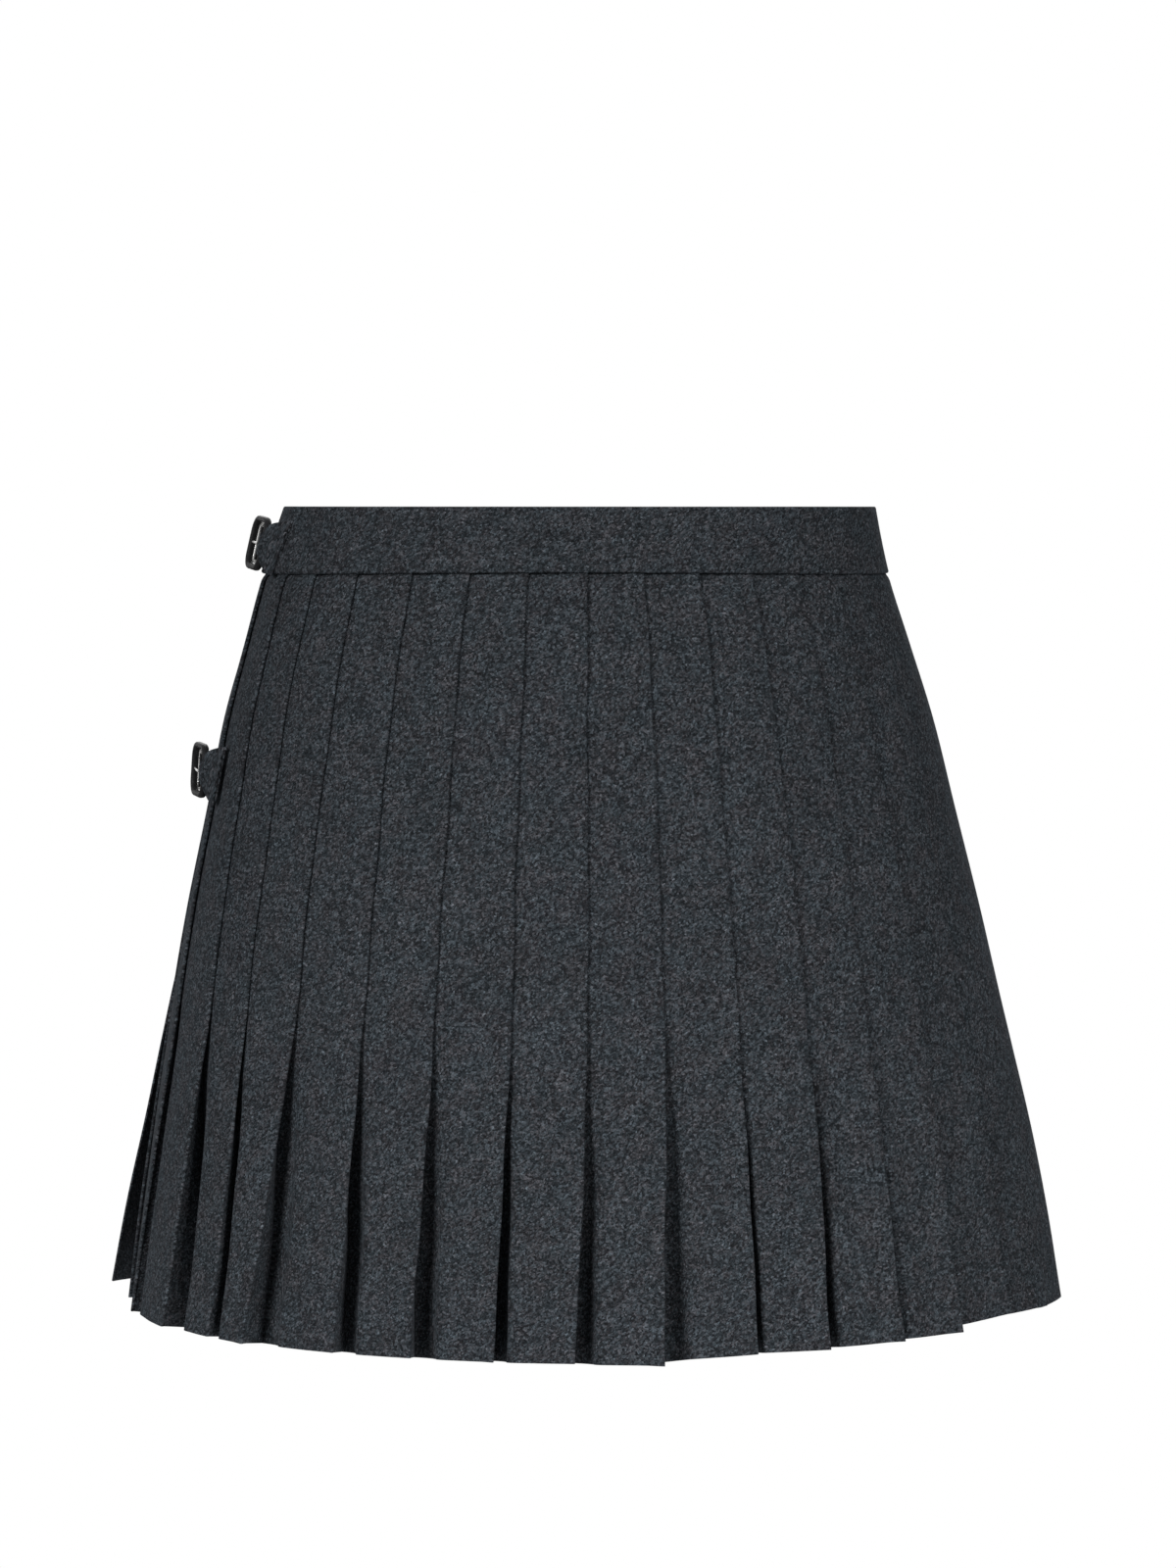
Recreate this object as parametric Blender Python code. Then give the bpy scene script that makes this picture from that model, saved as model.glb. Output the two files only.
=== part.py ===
"""A pleated wool mini kilt, filled out as when it is worn, with two buckled straps at one hip.

Sizes are in millimetres and are turned into metres when a mesh is made. +Z is up, the pleated
back faces -Y, the plain front aprons face +Y, and the wearer's left hip, with the buckles, is
at -X. The origin is the centre of the waistband, half-way up it.

Every cloth piece is a wall lofted through level sections. A place on the garment is given by
its drop below the waistband's top edge, its way along the outline from the back centre
(positive towards +X) and its distance out from that outline.
"""

from collections import namedtuple
import math

import bmesh
import bpy
from mathutils import Matrix, Vector
import numpy as np

MM = 0.001
COLLECTION = "mini_skirt"

# Cloth and seams
CLOTH = 1.2
LAYER_GAP = 0.35
LAYER = CLOTH + LAYER_GAP
SEAM_GAP = 0.3
BAND_THICK = 2.6
BAND_HEIGHT = 30.0
BAND_DEPTH = 0.4

# How much higher the waistband's seam and the cloth below it sit at the back centre
BACK_RISE = 1.6

# The outline: a superellipse at each drop. pitch is the way from one pleat's fold to the next,
# and openness goes from 0, where the pleats are stitched down, to 1 at the hem.
ROUNDNESS = 2.2
RING_STEPS = 720
Section = namedtuple("Section", "drop half_width half_depth shift pitch openness")
SECTIONS = [
    Section(0.0, 135.0, 97.0, -0.6, 24.6, 0.0),
    Section(15.0, 139.3, 99.6, -1.8, 25.0, 0.0),
    Section(30.0, 142.4, 102.0, -2.8, 25.4, 0.0),
    Section(60.0, 150.3, 108.5, -2.2, 27.0, 0.0),
    Section(95.0, 160.6, 116.0, -1.5, 28.4, 0.0),
    Section(135.0, 169.4, 123.5, -0.3, 29.8, 0.0),
    Section(180.0, 179.6, 130.5, 0.8, 31.2, 0.0),
    Section(220.0, 187.6, 136.0, 2.0, 32.2, 0.0),
    Section(245.0, 192.4, 139.0, 3.0, 33.0, 0.14),
    Section(280.0, 199.0, 142.5, 4.4, 34.2, 0.45),
    Section(320.0, 206.0, 146.0, 5.6, 35.3, 0.75),
    Section(360.0, 212.0, 149.0, 6.5, 36.6, 1.0),
]

# The pleats: knife pleats whose folds point to +X, the folds numbered from the back centre
FIRST_FOLD = -8
LAST_FOLD = 9
CLOTH_PER_PLEAT = 64.4
UNDERLAY_SHARE = 0.8
SLACK = 1.04
FOLD_RADIUS = LAYER / 2
RELEASE_DROP = 220.0
OPEN_UNDERLAY = 3.0
OPEN_DEPTH = 15.0
OPEN_SHOULDER = 2.8
OPEN_GAP = 8.5
OPEN_HEEL = 2.0

# How much lower the hem hangs for each millimetre that a pleat goes in
INNER_HANG = 0.16

# How single folds stray from an even pitch at the waist, where the stitching ends and at the
# hem, and how far each stands out and hangs longer at the hem
Fold = namedtuple("Fold", "number waist release hem out longer")
FOLDS = [
    Fold(-8, 4.0, 3.0, 0.0, 0.0, 2.5),
    Fold(-7, 6.0, 5.0, -1.0, 0.0, 2.0),
    Fold(-6, 7.0, 9.0, 5.5, 1.0, 1.8),
    Fold(-5, 4.0, 2.5, 1.5, 0.0, 2.0),
    Fold(-4, 3.0, -1.5, -15.0, 1.5, 2.8),
    Fold(-3, 4.0, -0.5, -5.5, 0.5, 3.1),
    Fold(-2, 5.0, -0.5, -7.5, 0.0, 3.8),
    Fold(-1, 5.5, 0.5, -8.0, 1.0, 4.5),
    Fold(0, 5.5, 1.0, -9.5, 0.0, 5.0),
    Fold(1, 5.0, 1.5, -8.0, 1.5, 6.0),
    Fold(2, 4.0, 1.0, -4.0, 0.0, 1.8),
    Fold(3, 3.0, 0.0, -8.5, 0.5, 1.0),
    Fold(4, 0.5, -3.5, -12.0, 0.0, -0.3),
    Fold(5, -4.0, -5.0, -16.0, 1.0, -1.6),
    Fold(6, -8.0, -8.0, -21.0, 0.0, -6.0),
    Fold(7, -10.0, -11.0, -26.0, 0.5, -5.0),
    Fold(8, -11.0, -13.0, -27.0, 0.0, -3.0),
    Fold(9, -12.0, -14.0, -28.0, 0.0, -1.0),
]
PANELS = [
    ("pleated_panel_left_side", -8, -5),
    ("pleated_panel_left_back", -4, -1),
    ("pleated_panel_right_back", 0, 3),
    ("pleated_panel_right_side", 4, 9),
]

# The aprons: places along the outline are in pitches from the back centre
UNDER_DEPTH_TOP = 3.9
UNDER_DEPTH_HEM = 8.0
UNDER_JOIN = -9.2
FIRST_PAST = 2.5
FIRST_LEVEL = 1.75
UNDER_EDGE = 9.8
BAND_JOIN = 9.3
BAND_LEVEL = -7.2
OVER_SETTLED = 10.0
OVER_EDGE = -8.75
APRON_POINTS = 24
FLARE = 16.0
FLARE_RUN = 0.32
FLARE_START = 150.0
APRON_LONGER = 5.0
CORNER_RUN = 45.0

# Where the waistband goes in under its own outer end: place in pitches, share of the way in
BAND_DIVE = [
    (-9.2, 1.0),
    (-8.9, 1.0),
    (-8.6, 0.92),
    (-8.3, 0.55),
    (-8.0, 0.2),
    (-7.7, 0.02),
]

# The closures: a cloth tab holds a leather ring with a metal lining, and a strap comes in under
# the ring's front, rises through it and ends in a point over its rear bar. tilt is how far the
# ring's front stands away from the garment, in degrees.
Closure = namedtuple("Closure", "name drop behind_side tilt")
CLOSURES = [
    Closure("upper", 18.4, 16.0, 9.0),
    Closure("lower", 119.4, 17.0, 7.5),
]
RING_LENGTH = 27.0
RING_HEIGHT = 24.6
RING_BAR = 2.6
RING_THICK = 3.0
RING_CORNER = 6.2
REAR_BAR_OUT = 4.6
LINING_REAR = -9.1
LINING_FRONT = 10.6
LINING_HEIGHT = 18.8
LINING_BAR = 1.0
LINING_THICK = 2.2
LINING_SINK = 2.2
LINING_CORNER = 3.8
PRONG_RADIUS = 0.8
PRONG_TIP_RADIUS = 0.5
PRONG_SIDES = 10
STRAP_THICK = 1.8

# A point of a tab, strap or prong: on the wall or on the tilted ring's own plane, its way along
# from the ring's centre (positive towards the front), its distance out from that and half its
# width there
Stop = namedtuple("Stop", "on along out half")
TAB_STOPS = [
    Stop("wall", -26.0, 1.7, 10.8),
    Stop("wall", -21.0, 2.0, 10.6),
    Stop("ring", -17.0, -1.4, 9.9),
    Stop("ring", -14.4, -2.15, 9.0),
    Stop("ring", -12.2, -2.45, 8.0),
    Stop("ring", -10.7, -2.3, 7.4),
    Stop("ring", -9.9, -1.2, 7.1),
    Stop("ring", -9.9, 1.2, 7.1),
    Stop("ring", -10.7, 2.3, 7.4),
    Stop("ring", -12.2, 2.45, 8.0),
    Stop("ring", -14.4, 2.4, 9.0),
    Stop("ring", -17.0, 1.8, 9.8),
    Stop("wall", -22.0, 3.9, 10.6),
    Stop("wall", -26.0, 3.3, 10.8),
]
STRAP_STOPS = [
    Stop("wall", 70.0, 2.2, 7.5),
    Stop("wall", 56.0, 2.2, 7.5),
    Stop("wall", 42.0, 2.2, 7.5),
    Stop("wall", 30.0, 2.2, 7.5),
    Stop("wall", 19.0, 2.9, 7.5),
    Stop("ring", 10.4, -4.8, 7.5),
    Stop("ring", 7.6, -4.5, 7.5),
    Stop("ring", 4.5, -3.0, 7.5),
    Stop("ring", 1.5, -1.4, 7.5),
    Stop("ring", -1.5, 0.3, 7.5),
    Stop("ring", -4.8, 2.2, 7.5),
    Stop("ring", -8.5, 3.7, 7.5),
    Stop("ring", -11.5, 4.4, 7.5),
    Stop("ring", -14.0, 4.4, 6.3),
    Stop("ring", -16.5, 4.1, 1.8),
]
PRONG_BASE = Stop("ring", -4.2, 4.4, 0.0)
PRONG_TIP = Stop("ring", 10.1, -0.3, 0.0)

# Finishes: base colour, roughness, metallic
WOOL = ("charcoal_wool", (0.034, 0.038, 0.043), 0.95, 0.0)
LEATHER = ("black_leather", (0.018, 0.018, 0.019), 0.5, 0.0)
STEEL = ("bright_steel", (0.72, 0.72, 0.72), 0.22, 1.0)


def mix(start, end, share):
    """The value a share of the way from start to end."""
    return start + (end - start) * share


def section_at(drop):
    """The outline's sizes at any drop, read between the table's rows."""
    drops = [row.drop for row in SECTIONS]
    values = [np.interp(drop, drops, [row[column] for row in SECTIONS]) for column in range(6)]
    return Section(*values)


def outline_table(section):
    """Arc lengths, points and outward normals once round, with the back centre at 0."""
    turn = np.linspace(-math.pi, math.pi, RING_STEPS + 1)
    sine, cosine = np.sin(turn), np.cos(turn)
    power = 2.0 / ROUNDNESS
    x = section.half_width * np.sign(sine) * np.abs(sine) ** power
    y = -section.half_depth * np.sign(cosine) * np.abs(cosine) ** power
    steps = np.hypot(np.diff(x), np.diff(y))
    arc = np.concatenate([[0.0], np.cumsum(steps)])
    arc -= arc[RING_STEPS // 2]
    steep = ROUNDNESS - 1.0
    normal_x = np.sign(x) * (np.abs(x) / section.half_width) ** steep / section.half_width
    normal_y = np.sign(y) * (np.abs(y) / section.half_depth) ** steep / section.half_depth
    length = np.hypot(normal_x, normal_y)
    return arc, x, y, normal_x / length, normal_y / length


def way_round(section):
    """The length of the outline."""
    arc = outline_table(section)[0]
    return arc[-1] - arc[0]


def on_outline(section, along, out):
    """Plan points at places along the outline, moved out from it."""
    arc, x, y, normal_x, normal_y = outline_table(section)
    half = arc[-1]
    along = (np.asarray(along, float) + half) % (2.0 * half) - half
    plan_x = np.interp(along, arc, x) + out * np.interp(along, arc, normal_x)
    plan_y = np.interp(along, arc, y) + out * np.interp(along, arc, normal_y)
    return np.stack([plan_x + section.shift, plan_y], axis=-1)


def height_of(drop):
    """The height of a drop in the part's frame."""
    return BAND_HEIGHT / 2 - drop


def back_rise(section, along):
    """How much higher than its drop the cloth sits, most at the back centre."""
    quarter = way_round(section) / 4
    away = np.abs((np.asarray(along, float) + 2 * quarter) % (4 * quarter) - 2 * quarter)
    near = np.cos(np.clip(away / quarter, 0.0, 1.0) * math.pi / 2) ** 2
    return BACK_RISE * min(section.drop / BAND_HEIGHT, 1.0) * near


def row_at(section, along, out, longer=0.0):
    """One level row of points in space, some of it hanging longer than the section's drop."""
    plan = on_outline(section, along, np.asarray(out, float))
    height = height_of(section.drop) + back_rise(section, along) - longer
    return np.column_stack([plan, height])


def sheet_offsets(points, thickness):
    """Both faces of a wall whose middle line runs through a row of points."""
    plan = points[:, :2]
    step = np.diff(plan, axis=0)
    step /= np.hypot(step[:, 0], step[:, 1])[:, None]
    side = np.column_stack([step[:, 1], -step[:, 0]])
    before = np.vstack([side[:1], side])
    after = np.vstack([side, side[-1:]])
    bisector = before + after
    bisector /= np.hypot(bisector[:, 0], bisector[:, 1])[:, None]
    stretch = 1.0 / np.clip(np.sum(bisector * before, axis=1), 0.6, 1.0)
    shift = bisector * (stretch * thickness / 2)[:, None]
    lift = np.zeros((len(points), 1))
    return points + np.hstack([shift, lift]), points - np.hstack([shift, lift])


def add_object(name, mesh, finish):
    """Put a mesh into the garment's collection under its own material."""
    label, colour, roughness, metallic = finish
    material = bpy.data.materials.get(label) or bpy.data.materials.new(label)
    material.use_nodes = True
    shader = material.node_tree.nodes["Principled BSDF"]
    shader.inputs["Base Color"].default_value = (*colour, 1.0)
    shader.inputs["Roughness"].default_value = roughness
    shader.inputs["Metallic"].default_value = metallic
    mesh.materials.append(material)
    piece = bpy.data.objects.new(name, mesh)
    bpy.data.collections[COLLECTION].objects.link(piece)
    return piece


def mesh_of(name, points, faces):
    """A closed mesh from points in millimetres, its faces turned outwards."""
    mesh = bpy.data.meshes.new(name)
    mesh.from_pydata([tuple(point * MM) for point in points], [], faces)
    form = bmesh.new()
    form.from_mesh(mesh)
    bmesh.ops.recalc_face_normals(form, faces=form.faces)
    form.to_mesh(mesh)
    form.free()
    mesh.shade_smooth()
    mesh.set_sharp_from_angle(angle=math.radians(40.0))
    return mesh


def halves(first, second, third, fourth):
    """The two triangles of a four-sided face, cut so that neighbouring layers bow apart."""
    return [(first, second, fourth), (second, third, fourth)]


def wall(name, rows, thickness, finish):
    """A closed wall lofted through rows of its middle line, the top row first."""
    count = len(rows[0])
    points = []
    for row in rows:
        outer, inner = sheet_offsets(row, thickness)
        points.extend(outer)
        points.extend(inner)

    def index(level, face, place):
        return (2 * level + face) * count + place

    faces = []
    for level in range(len(rows) - 1):
        for face in (0, 1):
            for place in range(count - 1):
                faces += halves(index(level, face, place), index(level, face, place + 1),
                                index(level + 1, face, place + 1), index(level + 1, face, place))
        for place in (0, count - 1):
            faces += halves(index(level, 0, place), index(level, 1, place),
                            index(level + 1, 1, place), index(level + 1, 0, place))
    for level in (0, len(rows) - 1):
        for place in range(count - 1):
            faces += halves(index(level, 0, place), index(level, 0, place + 1),
                            index(level, 1, place + 1), index(level, 1, place))
    return add_object(name, mesh_of(name, points, faces), finish)


def fold_row(number):
    """The table's row for a fold."""
    return FOLDS[number - FIRST_FOLD]


def fold_edge(section, number):
    """Where a fold's edge lies along the outline."""
    fold = fold_row(number)
    drops = (BAND_HEIGHT, RELEASE_DROP, SECTIONS[-1].drop)
    stray = np.interp(section.drop, drops, (fold.waist, fold.release, fold.hem))
    return number * section.pitch + stray


def pleat_width(section, number):
    """The way from the fold before to a fold."""
    return fold_edge(section, number) - fold_edge(section, number - 1)


def pleat_sizes(section):
    """Underlay and depth of every inner fold, with room for three layers in the narrowest pleat."""
    narrowest = min(pleat_width(section, fold.number) for fold in FOLDS[1:])
    underlay = min((CLOTH_PER_PLEAT - section.pitch) / 2, UNDERLAY_SHARE * narrowest)
    depth = 2 * LAYER * (narrowest + underlay) / narrowest * SLACK
    return (mix(underlay, OPEN_UNDERLAY, section.openness),
            mix(depth, OPEN_DEPTH, section.openness))


def shoulder(section, width):
    """Where a pleat's face comes out beside the fold before: its gap and its depth."""
    closed = section._replace(openness=0.0)
    underlay, depth = pleat_sizes(closed)
    level = depth * width / (width + underlay)
    return OPEN_GAP * section.openness, mix(level, OPEN_SHOULDER, section.openness)


def under_depth(section):
    """How far the under layer lies inside the outline."""
    share = np.clip((section.drop - BAND_HEIGHT) / (SECTIONS[-1].drop - BAND_HEIGHT), 0.0, 1.0)
    return mix(UNDER_DEPTH_TOP, UNDER_DEPTH_HEM, share)


def pleat_start(section, number, width):
    """The hidden side of a pleat, from the inner fold to the shoulder where it comes out."""
    underlay, depth = pleat_sizes(section)
    gap, level = shoulder(section, width)
    edge = fold_edge(section, number - 1)
    heel = (edge - underlay + FOLD_RADIUS + OPEN_HEEL * section.openness, -depth)
    emerging = (edge + gap, -level)
    middle = (mix(heel[0], emerging[0], 0.55), mix(heel[1], emerging[1], 0.55))
    return [heel, middle, emerging]


def first_start(section):
    """The left end of the pleated cloth, which comes up from the under layer."""
    underlay, _ = pleat_sizes(section)
    edge = fold_edge(section, FIRST_FOLD)
    join = (UNDER_JOIN * section.pitch, -under_depth(section))
    past = underlay + FIRST_PAST
    bend = (edge - past, -FIRST_LEVEL)
    between = (mix(join[0], bend[0], 0.5), mix(join[1], bend[1], 0.5))
    return [join, between, bend, (mix(bend[0], edge, 0.5), bend[1] / 2)]


def pleat_face(section, number):
    """Two points on a pleat's face, between its shoulder and its folded edge."""
    gap, level = shoulder(section, pleat_width(section, number))
    start = fold_edge(section, number - 1) + gap
    edge = fold_edge(section, number)
    out = fold_row(number).out * section.openness
    return [(mix(start, edge, share), mix(-level, out, share)) for share in (0.36, 0.7)]


def pleat_turn(section, number, last):
    """A pleat's folded edge, the underlay and, unless it is last, the inner fold."""
    underlay, depth = pleat_sizes(section)
    edge = fold_edge(section, number)
    out = fold_row(number).out * section.openness
    fold = [(edge - FOLD_RADIUS, out), (edge, out - FOLD_RADIUS),
            (edge - FOLD_RADIUS, out - 2 * FOLD_RADIUS)]
    inner = (edge - underlay + FOLD_RADIUS, -depth + 2 * FOLD_RADIUS)
    halfway = (mix(fold[-1][0], inner[0], 0.5), mix(fold[-1][1], inner[1], 0.5))
    points = fold + [halfway, inner]
    if not last:
        points.append((edge - underlay, -depth + FOLD_RADIUS))
    return points


def pleated_panel(name, first, last):
    """A run of pleats; its side seams lie in inner folds, where they don't show."""
    rows = []
    for section in [row for row in SECTIONS if row.drop >= BAND_HEIGHT]:
        line, longer = [], []
        for number in range(first, last + 1):
            if number == FIRST_FOLD:
                pleat = first_start(section)
            else:
                pleat = pleat_start(section, number, pleat_width(section, number))
                pleat += pleat_face(section, number)
            pleat += pleat_turn(section, number, number == last)
            line.extend(pleat)
            longer.extend([fold_row(number).longer * section.openness] * len(pleat))
        along, out = np.array(line).T
        hang = np.array(longer) + INNER_HANG * section.openness * np.maximum(-out, 0.0)
        section = section._replace(drop=max(section.drop, BAND_HEIGHT + SEAM_GAP))
        rows.append(row_at(section, along, out, hang))
    return wall(name, rows, CLOTH, WOOL)


def cloth_sections():
    """The sections of the plain cloth panels, below the waistband."""
    rows = [row for row in SECTIONS if row.drop >= BAND_HEIGHT]
    rows[0] = rows[0]._replace(drop=BAND_HEIGHT + SEAM_GAP)
    return rows


def apron_flare(section, along, edge):
    """How far the outer apron's free edge kicks out towards the hem."""
    down = np.clip((section.drop - FLARE_START) / (SECTIONS[-1].drop - FLARE_START), 0.0, 1.0)
    run = FLARE_RUN * way_round(section)
    near = np.clip((np.asarray(along) - edge + run) / run, 0.0, 1.0)
    return FLARE * down ** 1.3 * near ** 2


def over_apron():
    """The outer apron: it comes from under the last pleat and ends free at the left hip."""
    rows = []
    for section in cloth_sections():
        settled = OVER_SETTLED * section.pitch
        edge = way_round(section) + OVER_EDGE * section.pitch
        start = np.array(pleat_start(section, LAST_FOLD + 1, section.pitch))
        front = np.linspace(settled, edge, APRON_POINTS)
        along = np.concatenate([start[:, 0], front])
        out = np.concatenate([start[:, 1], apron_flare(section, front, edge)])
        down = np.minimum(along - along[0], edge - along) / CORNER_RUN
        longer = APRON_LONGER * section.openness * np.clip(down, 0.0, 1.0)
        rows.append(row_at(section, along, out, longer))
    return wall("over_apron", rows, CLOTH, WOOL)


def under_line(section, gap):
    """Places along the outline of the under layer, from the left join to its right edge."""
    start = way_round(section) + UNDER_JOIN * section.pitch - gap
    return np.linspace(UNDER_EDGE * section.pitch, start, APRON_POINTS)


def under_apron():
    """The under apron, which goes on from the pleats and lies inside the outer one."""
    rows = []
    for section in cloth_sections():
        along = under_line(section, SEAM_GAP)
        rows.append(row_at(section, along, np.full(APRON_POINTS, -under_depth(section))))
    return wall("under_apron", rows, CLOTH, WOOL)


def band_sections():
    """The sections of the waistband."""
    return [row for row in SECTIONS if row.drop <= BAND_HEIGHT]


def waistband():
    """The waistband in three stretches: under the apron, round the back, and over the front."""
    under, back, front = [], [], []
    for section in band_sections():
        along = under_line(section, SEAM_GAP)
        under.append(row_at(section, along, np.full(APRON_POINTS, -UNDER_DEPTH_TOP)))
        dive = np.array([place for place, _ in BAND_DIVE]) * section.pitch
        shares = np.array([share for _, share in BAND_DIVE])
        level = np.linspace(BAND_LEVEL, BAND_JOIN, APRON_POINTS) * section.pitch
        dive_out = -mix(BAND_DEPTH, UNDER_DEPTH_TOP, shares)
        level_out = np.full(APRON_POINTS, -BAND_DEPTH)
        back.append(row_at(section, np.concatenate([dive, level]),
                           np.concatenate([dive_out, level_out])))
        edge = way_round(section) + OVER_EDGE * section.pitch
        along = np.linspace(BAND_JOIN * section.pitch + SEAM_GAP, edge, APRON_POINTS)
        front.append(row_at(section, along, level_out))
    wall("waistband_under", under, BAND_THICK, WOOL)
    wall("waistband_back", back, BAND_THICK, WOOL)
    wall("waistband_front", front, BAND_THICK, WOOL)


def ring_place(closure):
    """Where the ring's centre lies along the outline at a drop."""
    def along_at(section):
        return -(way_round(section) / 4 - closure.behind_side)
    return along_at


def ring_plane(closure):
    """The tilted ring's left-handed frame: x to the front, y up, z outwards."""
    along_at = ring_place(closure)
    corners = []
    for drop in (closure.drop - 8.0, closure.drop, closure.drop + 8.0):
        section = section_at(drop)
        places = along_at(section) + np.array([5.0, 0.0, -5.0])
        corners.append(row_at(section, places, 0.0))
    above, level, below = corners
    forward = Vector(level[2] - level[0]).normalized()
    upward = Vector(above[1] - below[1])
    upward = (upward - forward * upward.dot(forward)).normalized()
    outward = upward.cross(forward)
    turned = Matrix((forward, upward, outward)).transposed().to_4x4()
    plane = Matrix.Translation(Vector(level[1])) @ turned
    tilt = math.radians(closure.tilt)
    stand = REAR_BAR_OUT + (RING_LENGTH - RING_BAR) / 2 * math.sin(tilt)
    lean = Matrix.Translation((0.0, 0.0, stand)) @ Matrix.Rotation(-tilt, 4, "Y")
    return plane @ lean


def stop_point(closure, plane, stop, side):
    """A stop's point in space, on its upper (side 1) or lower (side -1) edge."""
    if stop.on == "ring":
        return np.array(plane @ Vector((stop.along, side * stop.half, stop.out)))
    rise = side * stop.half * plane.col[1][2]
    section = section_at(closure.drop - rise)
    along = ring_place(closure)(section) - stop.along
    return row_at(section, [along], stop.out)[0]


def strip(name, closure, plane, stops, thickness, finish):
    """A tab or strap through its stops."""
    rows = []
    for side in (1.0, 0.0, -1.0):
        rows.append(np.array([stop_point(closure, plane, stop, side) for stop in stops]))
    return wall(name, rows, thickness, finish)


def rounded_rectangle(length, height, corner, steps):
    """Plan points and outward directions round a rounded rectangle."""
    points, directions = [], []
    for quarter in range(4):
        centre = Vector((length / 2 - corner, height / 2 - corner))
        centre.x *= 1.0 if quarter in (0, 3) else -1.0
        centre.y *= 1.0 if quarter in (0, 1) else -1.0
        for step in range(steps + 1):
            angle = (quarter + step / steps) * math.pi / 2
            direction = Vector((math.cos(angle), math.sin(angle)))
            points.append(centre + direction * corner)
            directions.append(direction)
    return points, directions


def bar_section(width, thickness, sides):
    """The section of a ring's bar: a flattened round, or a rectangle for four sides."""
    if sides == 4:
        half = Vector((width / 2, thickness / 2))
        return [Vector((half.x * a, half.y * b)) for a, b in ((1, 1), (-1, 1), (-1, -1), (1, -1))]
    turns = [2 * math.pi * (side + 0.5) / sides for side in range(sides)]
    reach = 1.0 / math.cos(math.pi / sides)
    return [Vector((width / 2 * math.cos(turn), thickness / 2 * math.sin(turn))) * reach
            for turn in turns]


def bar_ring(name, axes, centre, size, corner, bar, sides, steps, finish):
    """A closed ring with a bar section, lying in the closure's frame round a centre."""
    length, height = size
    width, thickness = bar
    path, directions = rounded_rectangle(length - width, height - width, corner - width / 2, steps)
    profile = bar_section(width, thickness, sides)
    points = []
    for place, direction in zip(path, directions):
        for spot in profile:
            plan = place + direction * spot.x
            local = Vector((centre[0] + plan.x, plan.y, centre[1] + spot.y))
            points.append(np.array(axes @ local))
    faces = []
    for station in range(len(path)):
        following = (station + 1) % len(path)
        for side in range(sides):
            turn = (side + 1) % sides
            faces.append((station * sides + side, station * sides + turn,
                          following * sides + turn, following * sides + side))
    return add_object(name, mesh_of(name, points, faces), finish)


def prong(name, closure, plane):
    """The tapered prong, from just over the strap to the lining's front bar."""
    base = Vector(stop_point(closure, plane, PRONG_BASE, 0.0))
    tip = Vector(stop_point(closure, plane, PRONG_TIP, 0.0))
    bpy.ops.mesh.primitive_cone_add(vertices=PRONG_SIDES, radius1=PRONG_RADIUS,
                                    radius2=PRONG_TIP_RADIUS, depth=(tip - base).length)
    cone = bpy.context.object
    mesh = cone.data
    turned = (tip - base).to_track_quat("Z", "Y").to_matrix().to_4x4()
    mesh.transform(Matrix.Translation((base + tip) / 2) @ turned)
    mesh.transform(Matrix.Scale(MM, 4))
    bpy.data.objects.remove(cone)
    mesh.name = name
    mesh.shade_smooth()
    mesh.set_sharp_from_angle(angle=math.radians(40.0))
    return add_object(name, mesh, STEEL)


def closure_pieces(closure):
    """One strap closure: tab, ring, its lining, the prong and the strap."""
    plane = ring_plane(closure)
    strip("tab_" + closure.name, closure, plane, TAB_STOPS, CLOTH, WOOL)
    strip("strap_" + closure.name, closure, plane, STRAP_STOPS, STRAP_THICK, LEATHER)
    bar_ring("ring_" + closure.name, plane, (0.0, 0.0), (RING_LENGTH, RING_HEIGHT),
             RING_CORNER, (RING_BAR, RING_THICK), 8, 4, LEATHER)
    lining_centre = ((LINING_FRONT + LINING_REAR) / 2, -LINING_SINK)
    bar_ring("lining_" + closure.name, plane, lining_centre,
             (LINING_FRONT - LINING_REAR, LINING_HEIGHT), LINING_CORNER,
             (LINING_BAR, LINING_THICK), 4, 3, STEEL)
    prong("prong_" + closure.name, closure, plane)


def build():
    """Clear the scene and make every piece of the skirt."""
    for piece in list(bpy.data.objects):
        bpy.data.objects.remove(piece)
    bpy.context.scene.collection.children.link(bpy.data.collections.new(COLLECTION))
    for name, first, last in PANELS:
        pleated_panel(name, first, last)
    over_apron()
    under_apron()
    waistband()
    for closure in CLOSURES:
        closure_pieces(closure)


build()
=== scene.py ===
"""Looks of a charcoal wool mini kilt: pleated back, plain aprons, two strap closures at one hip.

Sizes are in millimetres until a mesh is made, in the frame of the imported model: +Z up, the
pleated back towards -Y and the strap closures towards -X. A place on the cloth is given by its
drop below the waistband's top edge, its way along the outline from the back centre and its
distance out from that outline. Every cloth piece is an open sheet through many level rows,
which Solidify gives its thickness and Bevel its rounded edges.
"""

from collections.abc import Callable, Iterable, Iterator, Sequence
from dataclasses import dataclass, fields, replace
from enum import Enum
import logging
import math

import bmesh
import bpy
from mathutils import Matrix, Vector
import numpy as np


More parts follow.
